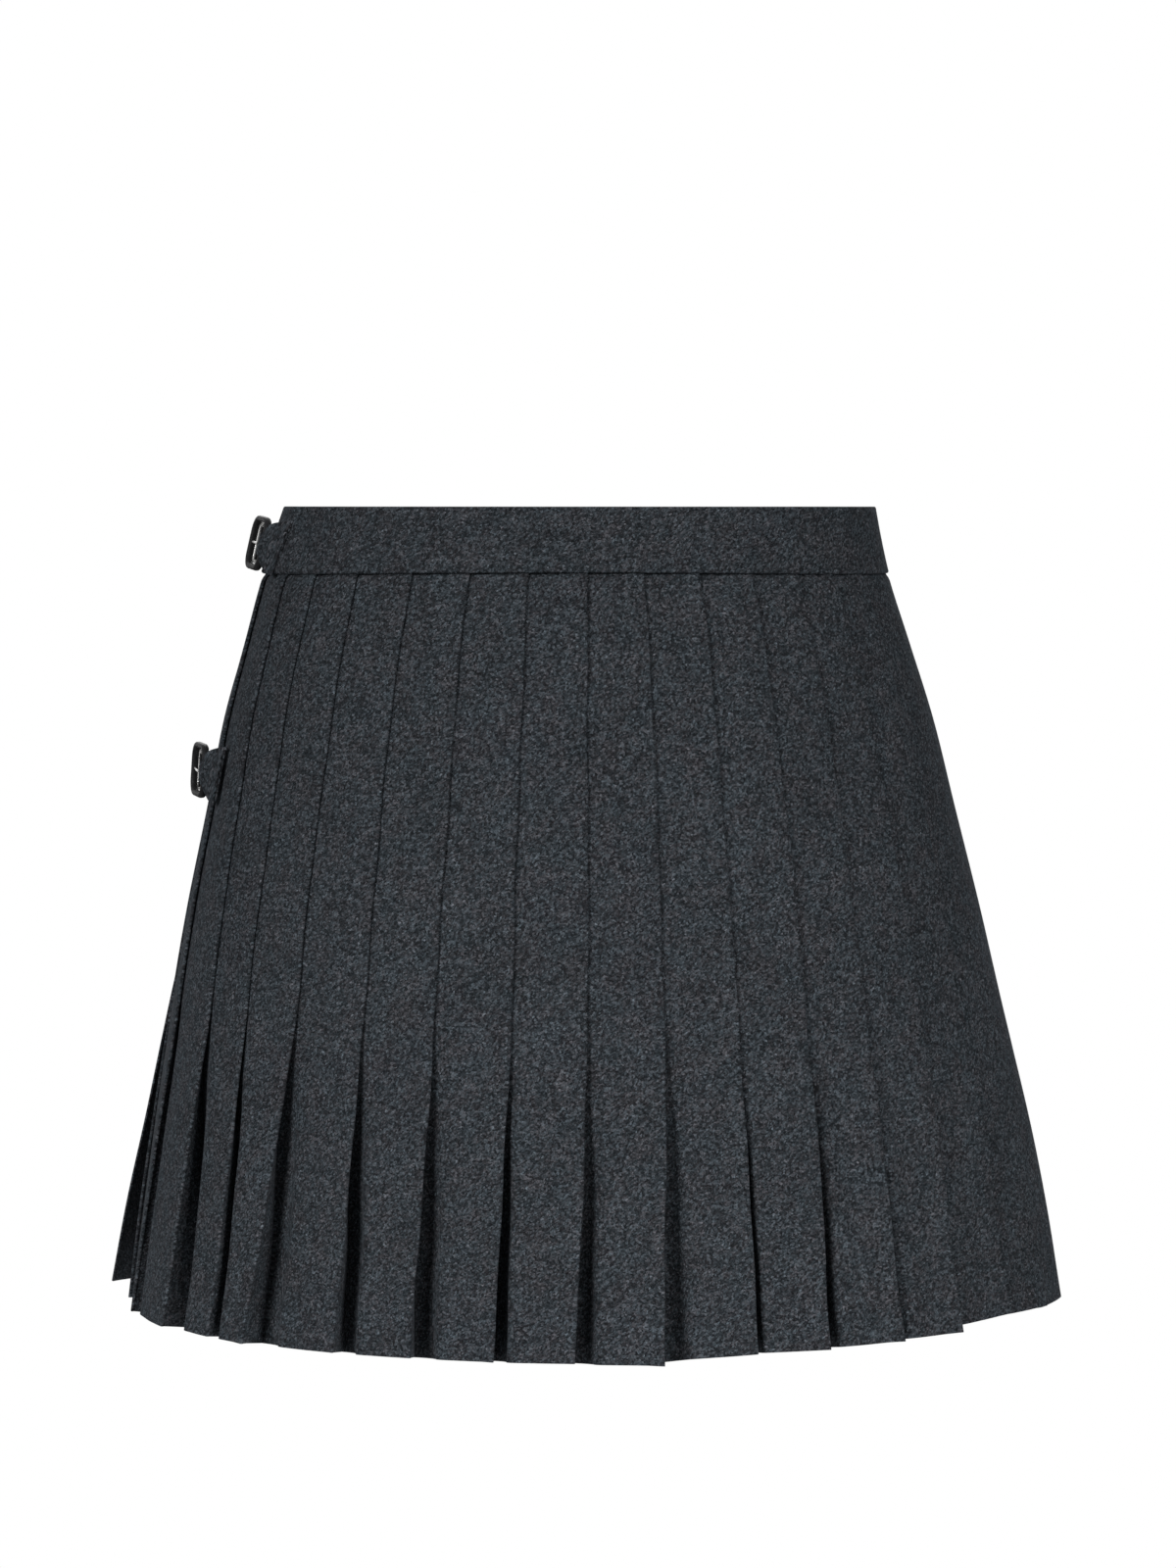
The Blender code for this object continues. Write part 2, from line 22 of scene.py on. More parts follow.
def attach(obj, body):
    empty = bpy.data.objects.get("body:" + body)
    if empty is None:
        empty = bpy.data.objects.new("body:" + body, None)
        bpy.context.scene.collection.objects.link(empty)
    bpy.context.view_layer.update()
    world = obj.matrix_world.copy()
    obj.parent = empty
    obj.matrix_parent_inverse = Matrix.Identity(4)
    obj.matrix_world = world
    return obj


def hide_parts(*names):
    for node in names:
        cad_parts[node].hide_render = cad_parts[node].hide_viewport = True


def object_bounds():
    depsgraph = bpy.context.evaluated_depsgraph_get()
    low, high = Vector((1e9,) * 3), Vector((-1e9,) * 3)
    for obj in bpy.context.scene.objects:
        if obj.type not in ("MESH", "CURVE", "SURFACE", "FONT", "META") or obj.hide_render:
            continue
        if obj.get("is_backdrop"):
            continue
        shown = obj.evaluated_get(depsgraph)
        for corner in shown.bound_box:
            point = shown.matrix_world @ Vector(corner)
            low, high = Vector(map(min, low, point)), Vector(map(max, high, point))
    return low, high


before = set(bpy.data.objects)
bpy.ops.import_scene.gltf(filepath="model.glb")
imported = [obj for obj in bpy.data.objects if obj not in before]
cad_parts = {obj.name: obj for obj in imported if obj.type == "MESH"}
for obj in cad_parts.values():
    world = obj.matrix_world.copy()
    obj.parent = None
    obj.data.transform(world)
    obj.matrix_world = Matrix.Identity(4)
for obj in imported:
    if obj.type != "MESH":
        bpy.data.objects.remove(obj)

MM = 0.001
BODY = "root"
BEVEL_ANGLE = 62.0
SHARP_ANGLE = 50.0
LOG = logging.getLogger("mini_skirt")

Tree = bpy.types.NodeTree
Node = bpy.types.Node
Socket = bpy.types.NodeSocket
Piece = bpy.types.Object
Array = np.ndarray
ClothRow = tuple["Section", Array, Array, Array | float, Array]


# Sizes of the garment, the same as those of the solids


@dataclass(frozen=True)
class Section:
    """The outline and the pleats at one drop."""

    drop: float
    half_width: float
    half_depth: float
    shift: float
    pitch: float
    openness: float


@dataclass(frozen=True)
class Fold:
    """How one fold strays from an even pitch, stands out, hangs longer and opens at the hem."""

    number: int
    waist: float
    release: float
    hem: float
    out: float
    longer: float
    gap: float


@dataclass(frozen=True)
class Crease:
    """A soft trough (depth below 0) or ridge: its middle, its reach each way and its lean."""

    place: float
    drop: float
    reach: float
    length: float
    depth: float
    lean: float


@dataclass(frozen=True)
class Stop:
    """A point of a tab, strap or prong: on the wall or on the tilted ring's own plane."""

    on: str
    along: float
    out: float
    half: float


@dataclass(frozen=True)
class Closure:
    """Where one strap closure sits, and how far its ring's front stands away, in degrees."""

    name: str
    drop: float
    behind_side: float
    tilt: float


SECTIONS = tuple(Section(*row) for row in (
    (0.0, 133.0, 97.0, -0.6, 24.6, 0.0), (15.0, 137.0, 99.6, -1.8, 25.0, 0.0),
    (30.0, 141.4, 102.0, -2.8, 25.4, 0.0), (60.0, 150.3, 108.5, -2.2, 27.0, 0.0),
    (95.0, 160.6, 116.0, -1.5, 28.4, 0.0), (135.0, 169.4, 123.5, -0.3, 29.8, 0.0),
    (180.0, 179.6, 130.5, 0.8, 31.2, 0.0), (220.0, 187.6, 136.0, 2.0, 32.2, 0.0),
    (245.0, 192.4, 139.0, 3.0, 33.0, 0.14), (280.0, 199.0, 142.5, 4.4, 34.2, 0.45),
    (320.0, 206.0, 146.0, 5.6, 35.3, 0.75), (360.0, 212.0, 149.0, 6.5, 36.6, 1.0),
))
FOLDS = tuple(Fold(*row) for row in (
    (-8, 0.5, 3.0, -2.5, 2.2, 2.5, 4.0), (-7, 6.0, 5.0, -1.0, 0.8, 2.0, 4.0),
    (-6, 7.0, 9.0, 5.5, 1.0, 1.8, 10.0), (-5, 4.0, 2.5, 1.5, 0.0, 2.0, 4.5),
    (-4, 3.0, -1.5, -15.0, 1.5, 2.8, 14.5), (-3, 4.0, -0.5, -5.5, 0.5, 3.1, 9.5),
    (-2, 5.0, -0.5, -7.5, 0.0, 3.8, 11.5), (-1, 5.5, 0.5, -8.0, 1.0, 4.5, 6.5),
    (0, 5.5, 1.0, -9.5, 0.0, 5.0, 10.0), (1, 5.0, 1.5, -8.0, 1.5, 6.0, 13.0),
    (2, 4.0, 1.0, -4.0, 0.0, 1.8, 4.0), (3, 3.0, 0.0, -8.5, 0.5, 1.0, 6.5),
    (4, 0.5, -3.5, -10.0, 1.0, -0.3, 3.0), (5, -4.0, -5.0, -16.0, 2.0, -1.6, 2.4),
    (6, -8.0, -8.0, -21.0, 0.8, -6.0, 2.0), (7, -10.0, -11.0, -26.0, 1.4, -5.0, 2.0),
    (8, -11.0, -13.0, -27.0, 0.0, -3.0, 1.6), (9, -12.0, -14.0, -28.0, 0.0, -1.0, 1.6),
))
# A place is in pitches from the back centre; the sides lie near +-7.5 and the front near +-15
CREASES = tuple(Crease(*row) for row in (
    (-6.4, 14.0, 13.0, 16.0, 0.7, 0.0), (-5.3, 18.0, 9.0, 14.0, -0.6, 0.1),
    (-2.6, 12.0, 22.0, 18.0, 0.5, 0.0), (1.4, 20.0, 16.0, 16.0, -0.5, 0.0),
    (4.6, 13.0, 20.0, 18.0, 0.6, 0.0), (-4.2, 300.0, 17.0, 55.0, -2.0, -0.05),
    (-1.8, 250.0, 14.0, 60.0, 0.9, 0.05), (0.6, 325.0, 15.0, 40.0, -1.4, 0.0),
    (2.5, 285.0, 20.0, 60.0, 1.2, 0.06), (5.1, 320.0, 18.0, 50.0, -1.6, 0.08),
    (3.4, 305.0, 9.0, 75.0, -1.8, 0.1), (4.3, 295.0, 10.0, 80.0, -1.6, 0.1),
    (7.0, 260.0, 22.0, 90.0, 1.4, 0.1), (9.0, 330.0, 20.0, 60.0, -1.8, 0.1),
    (10.6, 250.0, 22.0, 110.0, -2.6, 0.12), (11.7, 290.0, 26.0, 120.0, 2.8, 0.1),
    (13.0, 240.0, 24.0, 100.0, -2.2, 0.04), (14.3, 320.0, 28.0, 80.0, 2.6, -0.05),
    (-12.8, 260.0, 22.0, 120.0, -2.4, -0.06), (-11.6, 310.0, 24.0, 90.0, 2.2, -0.1),
    (-10.6, 140.0, 20.0, 40.0, -1.3, -0.3), (-10.2, 60.0, 18.0, 26.0, -1.0, 0.3),
    (12.4, 55.0, 30.0, 26.0, -1.1, 0.0), (-7.6, 280.0, 14.0, 70.0, 1.0, -0.05),
))
TAB_STOPS = tuple(Stop(*row) for row in (
    ("wall", -26.0, 1.4, 12.6), ("wall", -21.0, 1.8, 12.2), ("ring", -17.0, -1.1, 9.4),
    ("ring", -14.4, -1.6, 6.6), ("ring", -12.2, -1.85, 4.4), ("ring", -10.7, -1.75, 3.9),
    ("ring", -9.9, -0.9, 3.8), ("ring", -9.9, 1.4, 3.8), ("ring", -10.7, 2.5, 3.9),
    ("ring", -12.2, 2.65, 4.4), ("ring", -14.4, 1.6, 6.6), ("ring", -17.0, 0.7, 9.4),
    ("wall", -22.0, 2.9, 12.2), ("wall", -26.0, 2.4, 12.6),
))
STRAP_STOPS = tuple(Stop(*row) for row in (
    ("wall", 70.0, 2.2, 7.5), ("wall", 56.0, 2.2, 7.5), ("wall", 42.0, 2.2, 7.5),
    ("wall", 30.0, 2.2, 7.5), ("wall", 19.0, 2.9, 7.5), ("ring", 10.4, -4.8, 7.5),
    ("ring", 7.6, -4.5, 7.5), ("ring", 4.5, -3.0, 7.5), ("ring", 1.5, -1.4, 7.5),
    ("ring", -1.5, 0.0, 7.5), ("ring", -4.4, 0.9, 7.5), ("ring", -6.6, 1.2, 7.0),
    ("ring", -7.7, 1.25, 5.6),
))
PRONG_BASE = Stop("ring", -7.4, 2.8, 0.0)
PRONG_TIP = Stop("ring", 10.7, 0.7, 0.0)
CLOSURES = (Closure("upper", 18.4, 16.0, 10.0), Closure("lower", 119.4, 17.0, 8.4))


def mix(start: float, end: float, share: float) -> float:
    """Return the value a share of the way from start to end."""
    return start + (end - start) * share


def hermite(knots: Array, values: Array, places: Array) -> Array:
    """Read a smooth curve through a short table.

    Args:
        knots: The table's places, rising.
        values: One row of values for each knot.
        places: Where to read the curve.

    Returns:
        One row of values for each place.
    """
    slopes = np.gradient(values, knots, axis=0)
    index = np.clip(np.searchsorted(knots, places, side="right") - 1, 0, len(knots) - 2)
    span = (knots[index + 1] - knots[index])[:, None]
    share = ((places - knots[index])[:, None]) / span
    square, cube = share ** 2, share ** 3
    return ((2 * cube - 3 * square + 1) * values[index]
            + (cube - 2 * square + share) * span * slopes[index]
            + (3 * square - 2 * cube) * values[index + 1]
            + (cube - square) * span * slopes[index + 1])


def way_along(points: Array) -> Array:
    """Return how far along a line each of its points lies."""
    return np.concatenate([[0.0], np.cumsum(np.linalg.norm(np.diff(points, axis=0), axis=1))])


def rounded(points: Sequence[Sequence[float]], counts: Sequence[int]) -> Array:
    """Put points on a smooth curve through a few stops.

    Args:
        points: The stops.
        counts: How many points each stretch between two stops gets, its start counted.

    Returns:
        The curve's points, the last stop included.
    """
    stops = np.asarray(points, float)
    chord = np.sqrt(np.linalg.norm(np.diff(stops, axis=0), axis=1))
    knots = np.concatenate([[0.0], np.cumsum(np.maximum(chord, 1e-6))])
    places = [np.linspace(knots[place], knots[place + 1], count, endpoint=False)
              for place, count in enumerate(counts)]
    return hermite(knots, stops, np.concatenate(places + [knots[-1:]]))


# The garment's form


@dataclass
class Form:
    """The outline at every drop, and how a place on the cloth becomes a point in space."""

    band_height: float = 30.0
    back_rise: float = 1.6
    roundness: float = 2.2
    ring_steps: int = 720
    seam_sink: float = 1.1
    seam_reach: float = 1.8
    seam_rows: tuple[float, ...] = (0.05, 1.0, 2.1, 3.4)

    @property
    def hem_drop(self) -> float:
        """Return the drop of the hem."""
        return SECTIONS[-1].drop

    def section_at(self, drop: float) -> Section:
        """Read the outline's sizes at a drop, smoothly between the table's rows.

        Args:
            drop: The drop below the band's top edge.

        Returns:
            The section there.
        """
        names = [column.name for column in fields(Section)]
        table = np.array([[getattr(row, name) for name in names] for row in SECTIONS])
        values = hermite(table[:, 0], table, np.array([drop]))[0]
        values[-1] = min(max(values[-1], 0.0), 1.0)
        return Section(*values)

    def outline(self, section: Section) -> tuple[Array, Array, Array]:
        """Return arc lengths, plan points and outward directions once round the outline.

        Args:
            section: The outline's sizes.

        Returns:
            All three from the front, round by the back centre, to the front again.
        """
        turn = np.linspace(-math.pi, math.pi, self.ring_steps + 1)
        sine, cosine = np.sin(turn), np.cos(turn)
        power = 2.0 / self.roundness
        plan = np.column_stack([
            section.half_width * np.sign(sine) * np.abs(sine) ** power,
            -section.half_depth * np.sign(cosine) * np.abs(cosine) ** power,
        ])
        arc = way_along(plan)
        arc -= arc[self.ring_steps // 2]
        halves = np.array([section.half_width, section.half_depth])
        normal = np.sign(plan) * (np.abs(plan) / halves) ** (self.roundness - 1.0) / halves
        normal /= np.linalg.norm(normal, axis=1)[:, None]
        return arc, plan, normal

    def way_round(self, section: Section) -> float:
        """Return the length of the outline."""
        arc = self.outline(section)[0]
        return float(arc[-1] - arc[0])

    def crease_lift(self, section: Section, along: Array, half: float) -> Array:
        """Return how far the creases lift the cloth at places along the outline.

        Args:
            section: The outline at the row's drop.
            along: Places along the outline.
            half: Half of the way round it.

        Returns:
            One distance for each place.
        """
        lift = np.zeros(len(along))
        for crease in CREASES:
            centre = crease.place * section.pitch + crease.lean * (section.drop - crease.drop)
            away = (along - centre + half) % (2.0 * half) - half
            down = (section.drop - crease.drop) / crease.length
            lift += crease.depth * math.exp(-down * down) * np.exp(-(away / crease.reach) ** 2)
        return lift

    def row(self, section: Section, along: Array, out: Array,
            longer: Array | float = 0.0) -> Array:
        """Return the points of one row.

        Args:
            section: The outline at the row's drop.
            along: Places along the outline.
            out: Distances out from it.
            longer: How far the cloth hangs below the drop.

        Returns:
            Points in millimetres.
        """
        arc, plan, normal = self.outline(section)
        half = arc[-1]
        wrapped = (np.asarray(along, float) + half) % (2.0 * half) - half
        out = out + self.crease_lift(section, wrapped, half)
        below = section.drop - self.band_height
        if below > 0.0:
            out = out - self.seam_sink * math.exp(-((below / self.seam_reach) ** 2))
        x, y = (np.interp(wrapped, arc, plan[:, axis])
                + out * np.interp(wrapped, arc, normal[:, axis]) for axis in (0, 1))
        near = np.cos(np.clip(np.abs(wrapped) * 2.0 / half, 0.0, 1.0) * math.pi / 2) ** 2
        rise = self.back_rise * min(section.drop / self.band_height, 1.0) * near
        height = self.band_height / 2 - section.drop + rise - longer
        return np.column_stack([x + section.shift, y, height])

    def rows_between(self, top: float, bottom: float, count: int) -> list[Section]:
        """Return sections at even drops from top to bottom."""
        return [self.section_at(drop) for drop in np.linspace(top, bottom, count)]

    def cloth_rows(self, count: int) -> list[Section]:
        """Return sections from the band down to the hem, closer together at the seam.

        Args:
            count: How many even rows follow those at the seam.

        Returns:
            The sections, from the top down.
        """
        seam = [self.section_at(self.band_height + below) for below in self.seam_rows]
        start = self.band_height + 2.0 * self.seam_rows[-1] - self.seam_rows[-2]
        return seam + self.rows_between(start, self.hem_drop, count)


@dataclass
class Pleats:
    """The knife pleats' profile at every drop, with rounded folds."""

    form: Form
    layer: float = 0.82
    cloth_per_pleat: float = 64.4
    underlay_share: float = 0.8
    slack: float = 1.04
    release_drop: float = 220.0
    release_blend: float = 26.0
    blend_steps: int = 9
    open_underlay: float = 3.0
    open_depth: float = 16.5
    open_shoulder: float = 3.2
    shoulder_share: float = 0.5
    closed_gap: float = 1.1
    opening: float = 0.6
    open_heel: float = 2.0
    inner_hang: float = 0.16
    hem_step: float = 0.2
    lap: float = 1.4
    first_past: float = 2.5
    first_level: float = 1.75
    under_join: float = -9.2
    over_edge: float = -8.75
    under_edge: float = 9.8
    seam_gap: float = 0.3
    under_depth_top: float = 3.9
    under_depth_hem: float = 8.0
    wander: float = 0.22
    turn_steps: int = 7
    last_turn: float = 225.0
    back_steps: int = 6

    waves = ((21.0, 2.3), (8.7, 1.0))
    floor = ((0.3, 0.08), (0.56, 0.24), (0.8, 0.56))
    face_shares = (0.36, 0.7)
    first_counts = (4, 4, 5, 6)
    counts = (4, 4, 4, 4, 6, 5, 5)

    @property
    def radius(self) -> float:
        """Return the radius of a fold's middle line."""
        return self.layer / 2

    @property
    def first(self) -> int:
        """Return the number of the first fold."""
        return FOLDS[0].number

    @property
    def last(self) -> int:
        """Return the number of the last fold."""
        return FOLDS[-1].number

    def fold(self, number: int) -> Fold:
        """Return the table's row for a fold."""
        return FOLDS[number - self.first]

    def edge(self, section: Section, number: int) -> float:
        """Return where a fold's edge lies, softly bent where the stitching ends.

        Args:
            section: The outline at the row's drop.
            number: The fold's number, 0 at the back centre.

        Returns:
            Its place along the outline.
        """
        fold = self.fold(number)
        drops = (self.form.band_height, self.release_drop, self.form.hem_drop)
        reach = self.release_blend
        around = section.drop + np.linspace(-reach, reach, self.blend_steps)
        stray = float(np.mean(np.interp(around, drops, (fold.waist, fold.release, fold.hem))))
        uneven = sum(math.sin(section.drop / wave + turn * number) for wave, turn in self.waves)
        return number * section.pitch + stray + self.wander * uneven

    def width(self, section: Section, number: int) -> float:
        """Return the way from the fold before to a fold."""
        return self.edge(section, number) - self.edge(section, number - 1)

    def opened(self, section: Section) -> float:
        """Return how far the pleats gape, which they do soon below their stitching."""
        return section.openness ** self.opening

    def sizes(self, section: Section) -> tuple[float, float]:
        """Return the underlay and the depth of every inner fold.

        Args:
            section: The outline at the row's drop.

        Returns:
            The underlay and the depth, in millimetres.
        """
        narrowest = min(self.width(section, fold.number) for fold in FOLDS[1:])
        underlay = min((self.cloth_per_pleat - section.pitch) / 2, self.underlay_share * narrowest)
        depth = 2 * self.layer * (narrowest + underlay) / narrowest * self.slack
        opened = self.opened(section)
        return mix(underlay, self.open_underlay, opened), mix(depth, self.open_depth, opened)

    def shoulder(self, section: Section, number: int, width: float) -> tuple[float, float]:
        """Return the gap beside the fold before, and how deep the face lies there.

        Args:
            section: The outline at the row's drop.
            number: The fold that ends the pleat.
            width: The way from the fold before to it.

        Returns:
            The gap and the depth, in millimetres.
        """
        underlay, depth = self.sizes(replace(section, openness=0.0))
        level = depth * width / (width + underlay)
        opened = self.opened(section)
        gap = self.fold(number - 1).gap
        deep = max(self.open_shoulder, self.shoulder_share * gap)
        return mix(self.closed_gap, gap, opened), mix(level, deep, opened)

    def under_depth(self, section: Section) -> float:
        """Return how far the under layer lies inside the outline.

        Args:
            section: The outline at the row's drop.

        Returns:
            The distance inwards.
        """
        band, hem = self.form.band_height, self.form.hem_drop
        share = min(max((section.drop - band) / (hem - band), 0.0), 1.0)
        return mix(self.under_depth_top, self.under_depth_hem, share)

    def over_end(self, section: Section) -> float:
        """Return where the outer layer's free edge lies along the outline."""
        return self.form.way_round(section) + self.over_edge * section.pitch

    def under_reach(self, section: Section) -> tuple[float, float]:
        """Return where the under layer begins and ends along the outline."""
        end = self.form.way_round(section) + self.under_join * section.pitch - self.seam_gap
        return self.under_edge * section.pitch, end

    def turn(self, centre: tuple[float, float], start: float, stop: float) -> list[list[float]]:
        """Return the points of a fold, an arc between two angles in degrees.

        Args:
            centre: The arc's centre, along and out.
            start: The first angle.
            stop: The last angle.

        Returns:
            The points, along and out.
        """
        angles = np.radians(np.linspace(start, stop, self.turn_steps))
        return [[centre[0] + self.radius * math.cos(angle),
                 centre[1] + self.radius * math.sin(angle)] for angle in angles]

    def start(self, section: Section, number: int, width: float) -> list[tuple[float, float]]:
        """Return the hidden side of a pleat, from the inner fold to where it comes out.

        Args:
            section: The outline at the row's drop.
            number: The fold that ends the pleat.
            width: The way from the fold before to it.

        Returns:
            Stops, each a place along and a distance out.
        """
        underlay, depth = self.sizes(section)
        gap, level = self.shoulder(section, number, width)
        edge = self.edge(section, number - 1)
        opened = self.opened(section)
        heel = (edge - underlay + self.radius + self.open_heel * opened, -depth)
        emerging = (edge + gap, -level)
        between = [(mix(heel[0], emerging[0], share),
                    mix(heel[1], emerging[1], mix(share, risen, opened)))
                   for share, risen in self.floor]
        return [heel, *between, emerging]

    def first_start(self, section: Section) -> list[tuple[float, float]]:
        """Return the left end of the pleated cloth, which comes up from the under layer.

        Args:
            section: The outline at the row's drop.

        Returns:
            Stops, each a place along and a distance out.
        """
        underlay, _ = self.sizes(section)
        edge = self.edge(section, self.first)
        join = (self.under_join * section.pitch, -self.under_depth(section))
        past = underlay + self.first_past
        bend = (edge - past, -self.first_level)
        between = (mix(join[0], bend[0], 0.5), mix(join[1], bend[1], 0.5))
        return [join, between, bend, (mix(bend[0], edge, 0.5), bend[1] / 2)]

    def face(self, section: Section, number: int) -> list[tuple[float, float]]:
        """Return two stops on a pleat's face, between its shoulder and its folded edge.

        Args:
            section: The outline at the row's drop.
            number: The fold that ends the pleat.

        Returns:
            Stops, each a place along and a distance out.
        """
        gap, level = self.shoulder(section, number, self.width(section, number))
        start = self.edge(section, number - 1) + gap
        edge = self.edge(section, number)
        out = self.fold(number).out * section.openness
        return [(mix(start, edge, share), mix(-level, out, share)) for share in self.face_shares]

    def profile(self, section: Section, first: int, last: int) -> tuple[Array, ...]:
        """Return a run of pleats at one drop.

        Args:
            section: The outline at the drop.
            first: The run's first fold.
            last: Its last fold.

        Returns:
            Places along the outline, distances out, how much longer each hangs, and the
            cloth's own place across from the fold edges.
        """
        along, out, longer, across = [], [], [], []
        underlay, depth = self.sizes(section)
        for number in range(first, last + 1):
            fold = self.fold(number)
            edge = self.edge(section, number)
            rise = fold.out * section.openness
            end = (edge - self.radius, rise)
            if number == self.first:
                stops = self.first_start(section) + [end]
                counts = self.first_counts
            else:
                stops = (self.start(section, number, self.width(section, number))
                         + self.face(section, number) + [end])
                counts = self.counts
            face = rounded(stops, counts)[:-1]
            outer = np.array(self.turn((edge - self.radius, rise - self.radius), 90.0, -90.0))
            inner_middle = (edge - underlay + self.radius, -depth + self.radius)
            if number == last:
                end_turn = mix(self.last_turn, 270.0, section.openness)
                inner = np.array(self.turn(inner_middle, 90.0, end_turn))
                lap = (inner_middle[0] + self.open_heel + self.lap, -depth - self.lap)
                inner = np.vstack([inner, mix(inner[-1], np.array(lap), section.openness)])
            else:
                inner = np.array(self.turn(inner_middle, 90.0, 270.0))[:-1]
            back = np.linspace(outer[-1], inner[0], self.back_steps)[1:-1]
            run = np.vstack([face, outer, back, inner])
            way = way_along(run)
            middle = len(face) + self.turn_steps // 2
            across.extend(way - way[middle] + number * self.cloth_per_pleat)
            along.extend(run[:, 0])
            out.extend(run[:, 1])
            before = mix(self.fold(max(number - 1, self.first)).longer, fold.longer, self.hem_step)
            after = mix(fold.longer, self.fold(min(number + 1, self.last)).longer, self.hem_step)
            stations = (0, len(face), len(face) + self.turn_steps, len(run) - 1)
            longer.extend(np.interp(np.arange(len(run)), stations,
                                    (before, fold.longer, fold.longer, after)) * section.openness)
        hang = np.array(longer)
        hang = hang + self.inner_hang * section.openness * np.maximum(-np.array(out), 0.0)
        return np.array(along), np.array(out), hang, np.array(across)


# Shader groups and finishes


NUMBER, VECTOR, COLOUR = "NodeSocketFloat", "NodeSocketVector", "NodeSocketColor"
Source = Socket | float | tuple[float, ...]
TWILL_TURN = 58.0
SHEEN_ROUGHNESS = 0.45
SHEEN_TINT = (0.78, 0.88, 1.0, 1.0)


class Pattern(Enum):
    """The shader groups that finishes share."""

    WOOL = "brushed_wool_twill"
    GRAIN = "leather_grain"
    BRUSH = "polished_metal"
    TWIST = "thread_twist"


@dataclass
class GroupBuilder:
    """Builds one shader group, from its named inputs to its colour, roughness and height."""

    pattern: Pattern
    places: tuple[str, ...] = ("Place",)
    amounts: tuple[tuple[str, float], ...] = ()

    def __post_init__(self) -> None:
        """Make the group with its sockets."""
        self.tree = bpy.data.node_groups.new(self.pattern.value, "ShaderNodeTree")
        for name in self.places:
            self.tree.interface.new_socket(name, in_out="INPUT", socket_type=VECTOR)
        for name, value in self.amounts:
            made = self.tree.interface.new_socket(name, in_out="INPUT", socket_type=NUMBER)
            made.default_value = value
        self.tree.interface.new_socket("Shade", in_out="INPUT", socket_type=COLOUR)
        for name, kind in (("Color", COLOUR), ("Roughness", NUMBER), ("Height", NUMBER)):
            self.tree.interface.new_socket(name, in_out="OUTPUT", socket_type=kind)
        self.given = self.tree.nodes.new("NodeGroupInput").outputs
        self.taken = self.tree.nodes.new("NodeGroupOutput").inputs

    def node(self, kind: str, sources: dict[str | int, Source], **settings: object) -> Node:
        """Add a node with its settings, and link its inputs or set their values.

        Args:
            kind: The node's type.
            sources: A socket or a value for each input, by name or number.
            settings: The node's own properties.

        Returns:
            The new node.
        """
        made = self.tree.nodes.new(kind)
        for name, value in settings.items():
            setattr(made, name, value)
        for key, source in sources.items():
            if isinstance(source, Socket):
                self.tree.links.new(source, made.inputs[key])
            else:
                made.inputs[key].default_value = source
        return made

    def math(self, operation: str, *values: Source) -> Socket:
        """Add a Math node and return its result."""
        return self.node("ShaderNodeMath", dict(enumerate(values)), operation=operation).outputs[0]

    def weighed(self, *terms: tuple[Socket, float]) -> Socket:
        """Add up values, each times its weight.

        Args:
            terms: Pairs of a value and its weight.

        Returns:
            Their sum.
        """
        total: Socket | None = None
        for value, weight in terms:
            part = self.math("MULTIPLY", value, weight)
            total = part if total is None else self.math("ADD", total, part)
        return total

    def remap(self, value: Socket, low: float, high: float, start: float, end: float) -> Socket:
        """Spread the range low to high over start to end, held at both ends."""
        sources = dict(enumerate((value, low, high, start, end)))
        return self.node("ShaderNodeMapRange", sources, clamp=True).outputs[0]

    def noise(self, vector: Socket, scale: float, detail: float, roughness: float) -> Socket:
        """Add a noise texture and return its value."""
        sources = {"Vector": vector, "Scale": scale, "Detail": detail, "Roughness": roughness}
        return self.node("ShaderNodeTexNoise", sources).outputs["Fac"]

    def cells(self, vector: Socket, scale: Socket) -> list[Socket]:
        """Add small cells and return three even random values that each cell has.

        Args:
            vector: Where the cells are read.
            scale: How many lie side by side in a metre.

        Returns:
            The values.
        """
        made = self.node("ShaderNodeTexVoronoi", {"Vector": vector, "Scale": scale},
                         voronoi_dimensions="2D")
        return list(self.node("ShaderNodeSeparateColor", {0: made.outputs["Color"]}).outputs)

    def mapped(self, vector: Socket, turn: float, scale: tuple[float, float, float]) -> Socket:
        """Turn a vector about Z, in degrees, and then scale it.

        Args:
            vector: What is turned.
            turn: The angle.
            scale: The factor along each axis.

        Returns:
            The new vector.
        """
        turned = self.node("ShaderNodeMapping", {
            "Vector": vector, "Rotation": (0.0, 0.0, math.radians(turn))}, vector_type="POINT")
        return self.node("ShaderNodeMapping", {
            "Vector": turned.outputs[0], "Scale": scale}, vector_type="POINT").outputs[0]

    def times(self, first: Socket, second: Socket) -> Socket:
        """Multiply two colours."""
        return self.node("ShaderNodeMix", {"Factor": 1.0, 6: first, 7: second},
                         data_type="RGBA", blend_type="MULTIPLY").outputs[2]

    def finish(self, tone: Socket, roughness: Socket, height: Socket,
               shade: Socket | None = None) -> Tree:
        """Hand on the shade times a tone, the roughness and the height; return the group.

        Args:
            tone: The factor on the shade.
            roughness: The roughness.
            height: The height that the bump reads.
            shade: A colour in place of the group's own shade.

        Returns:
            The group.
        """
        grey = self.node("ShaderNodeCombineColor", {channel: tone for channel in range(3)})
        colour = self.times(shade or self.given["Shade"], grey.outputs[0])
        for name, source in (("Color", colour), ("Roughness", roughness), ("Height", height)):
            self.tree.links.new(source, self.taken[name])
        return self.tree


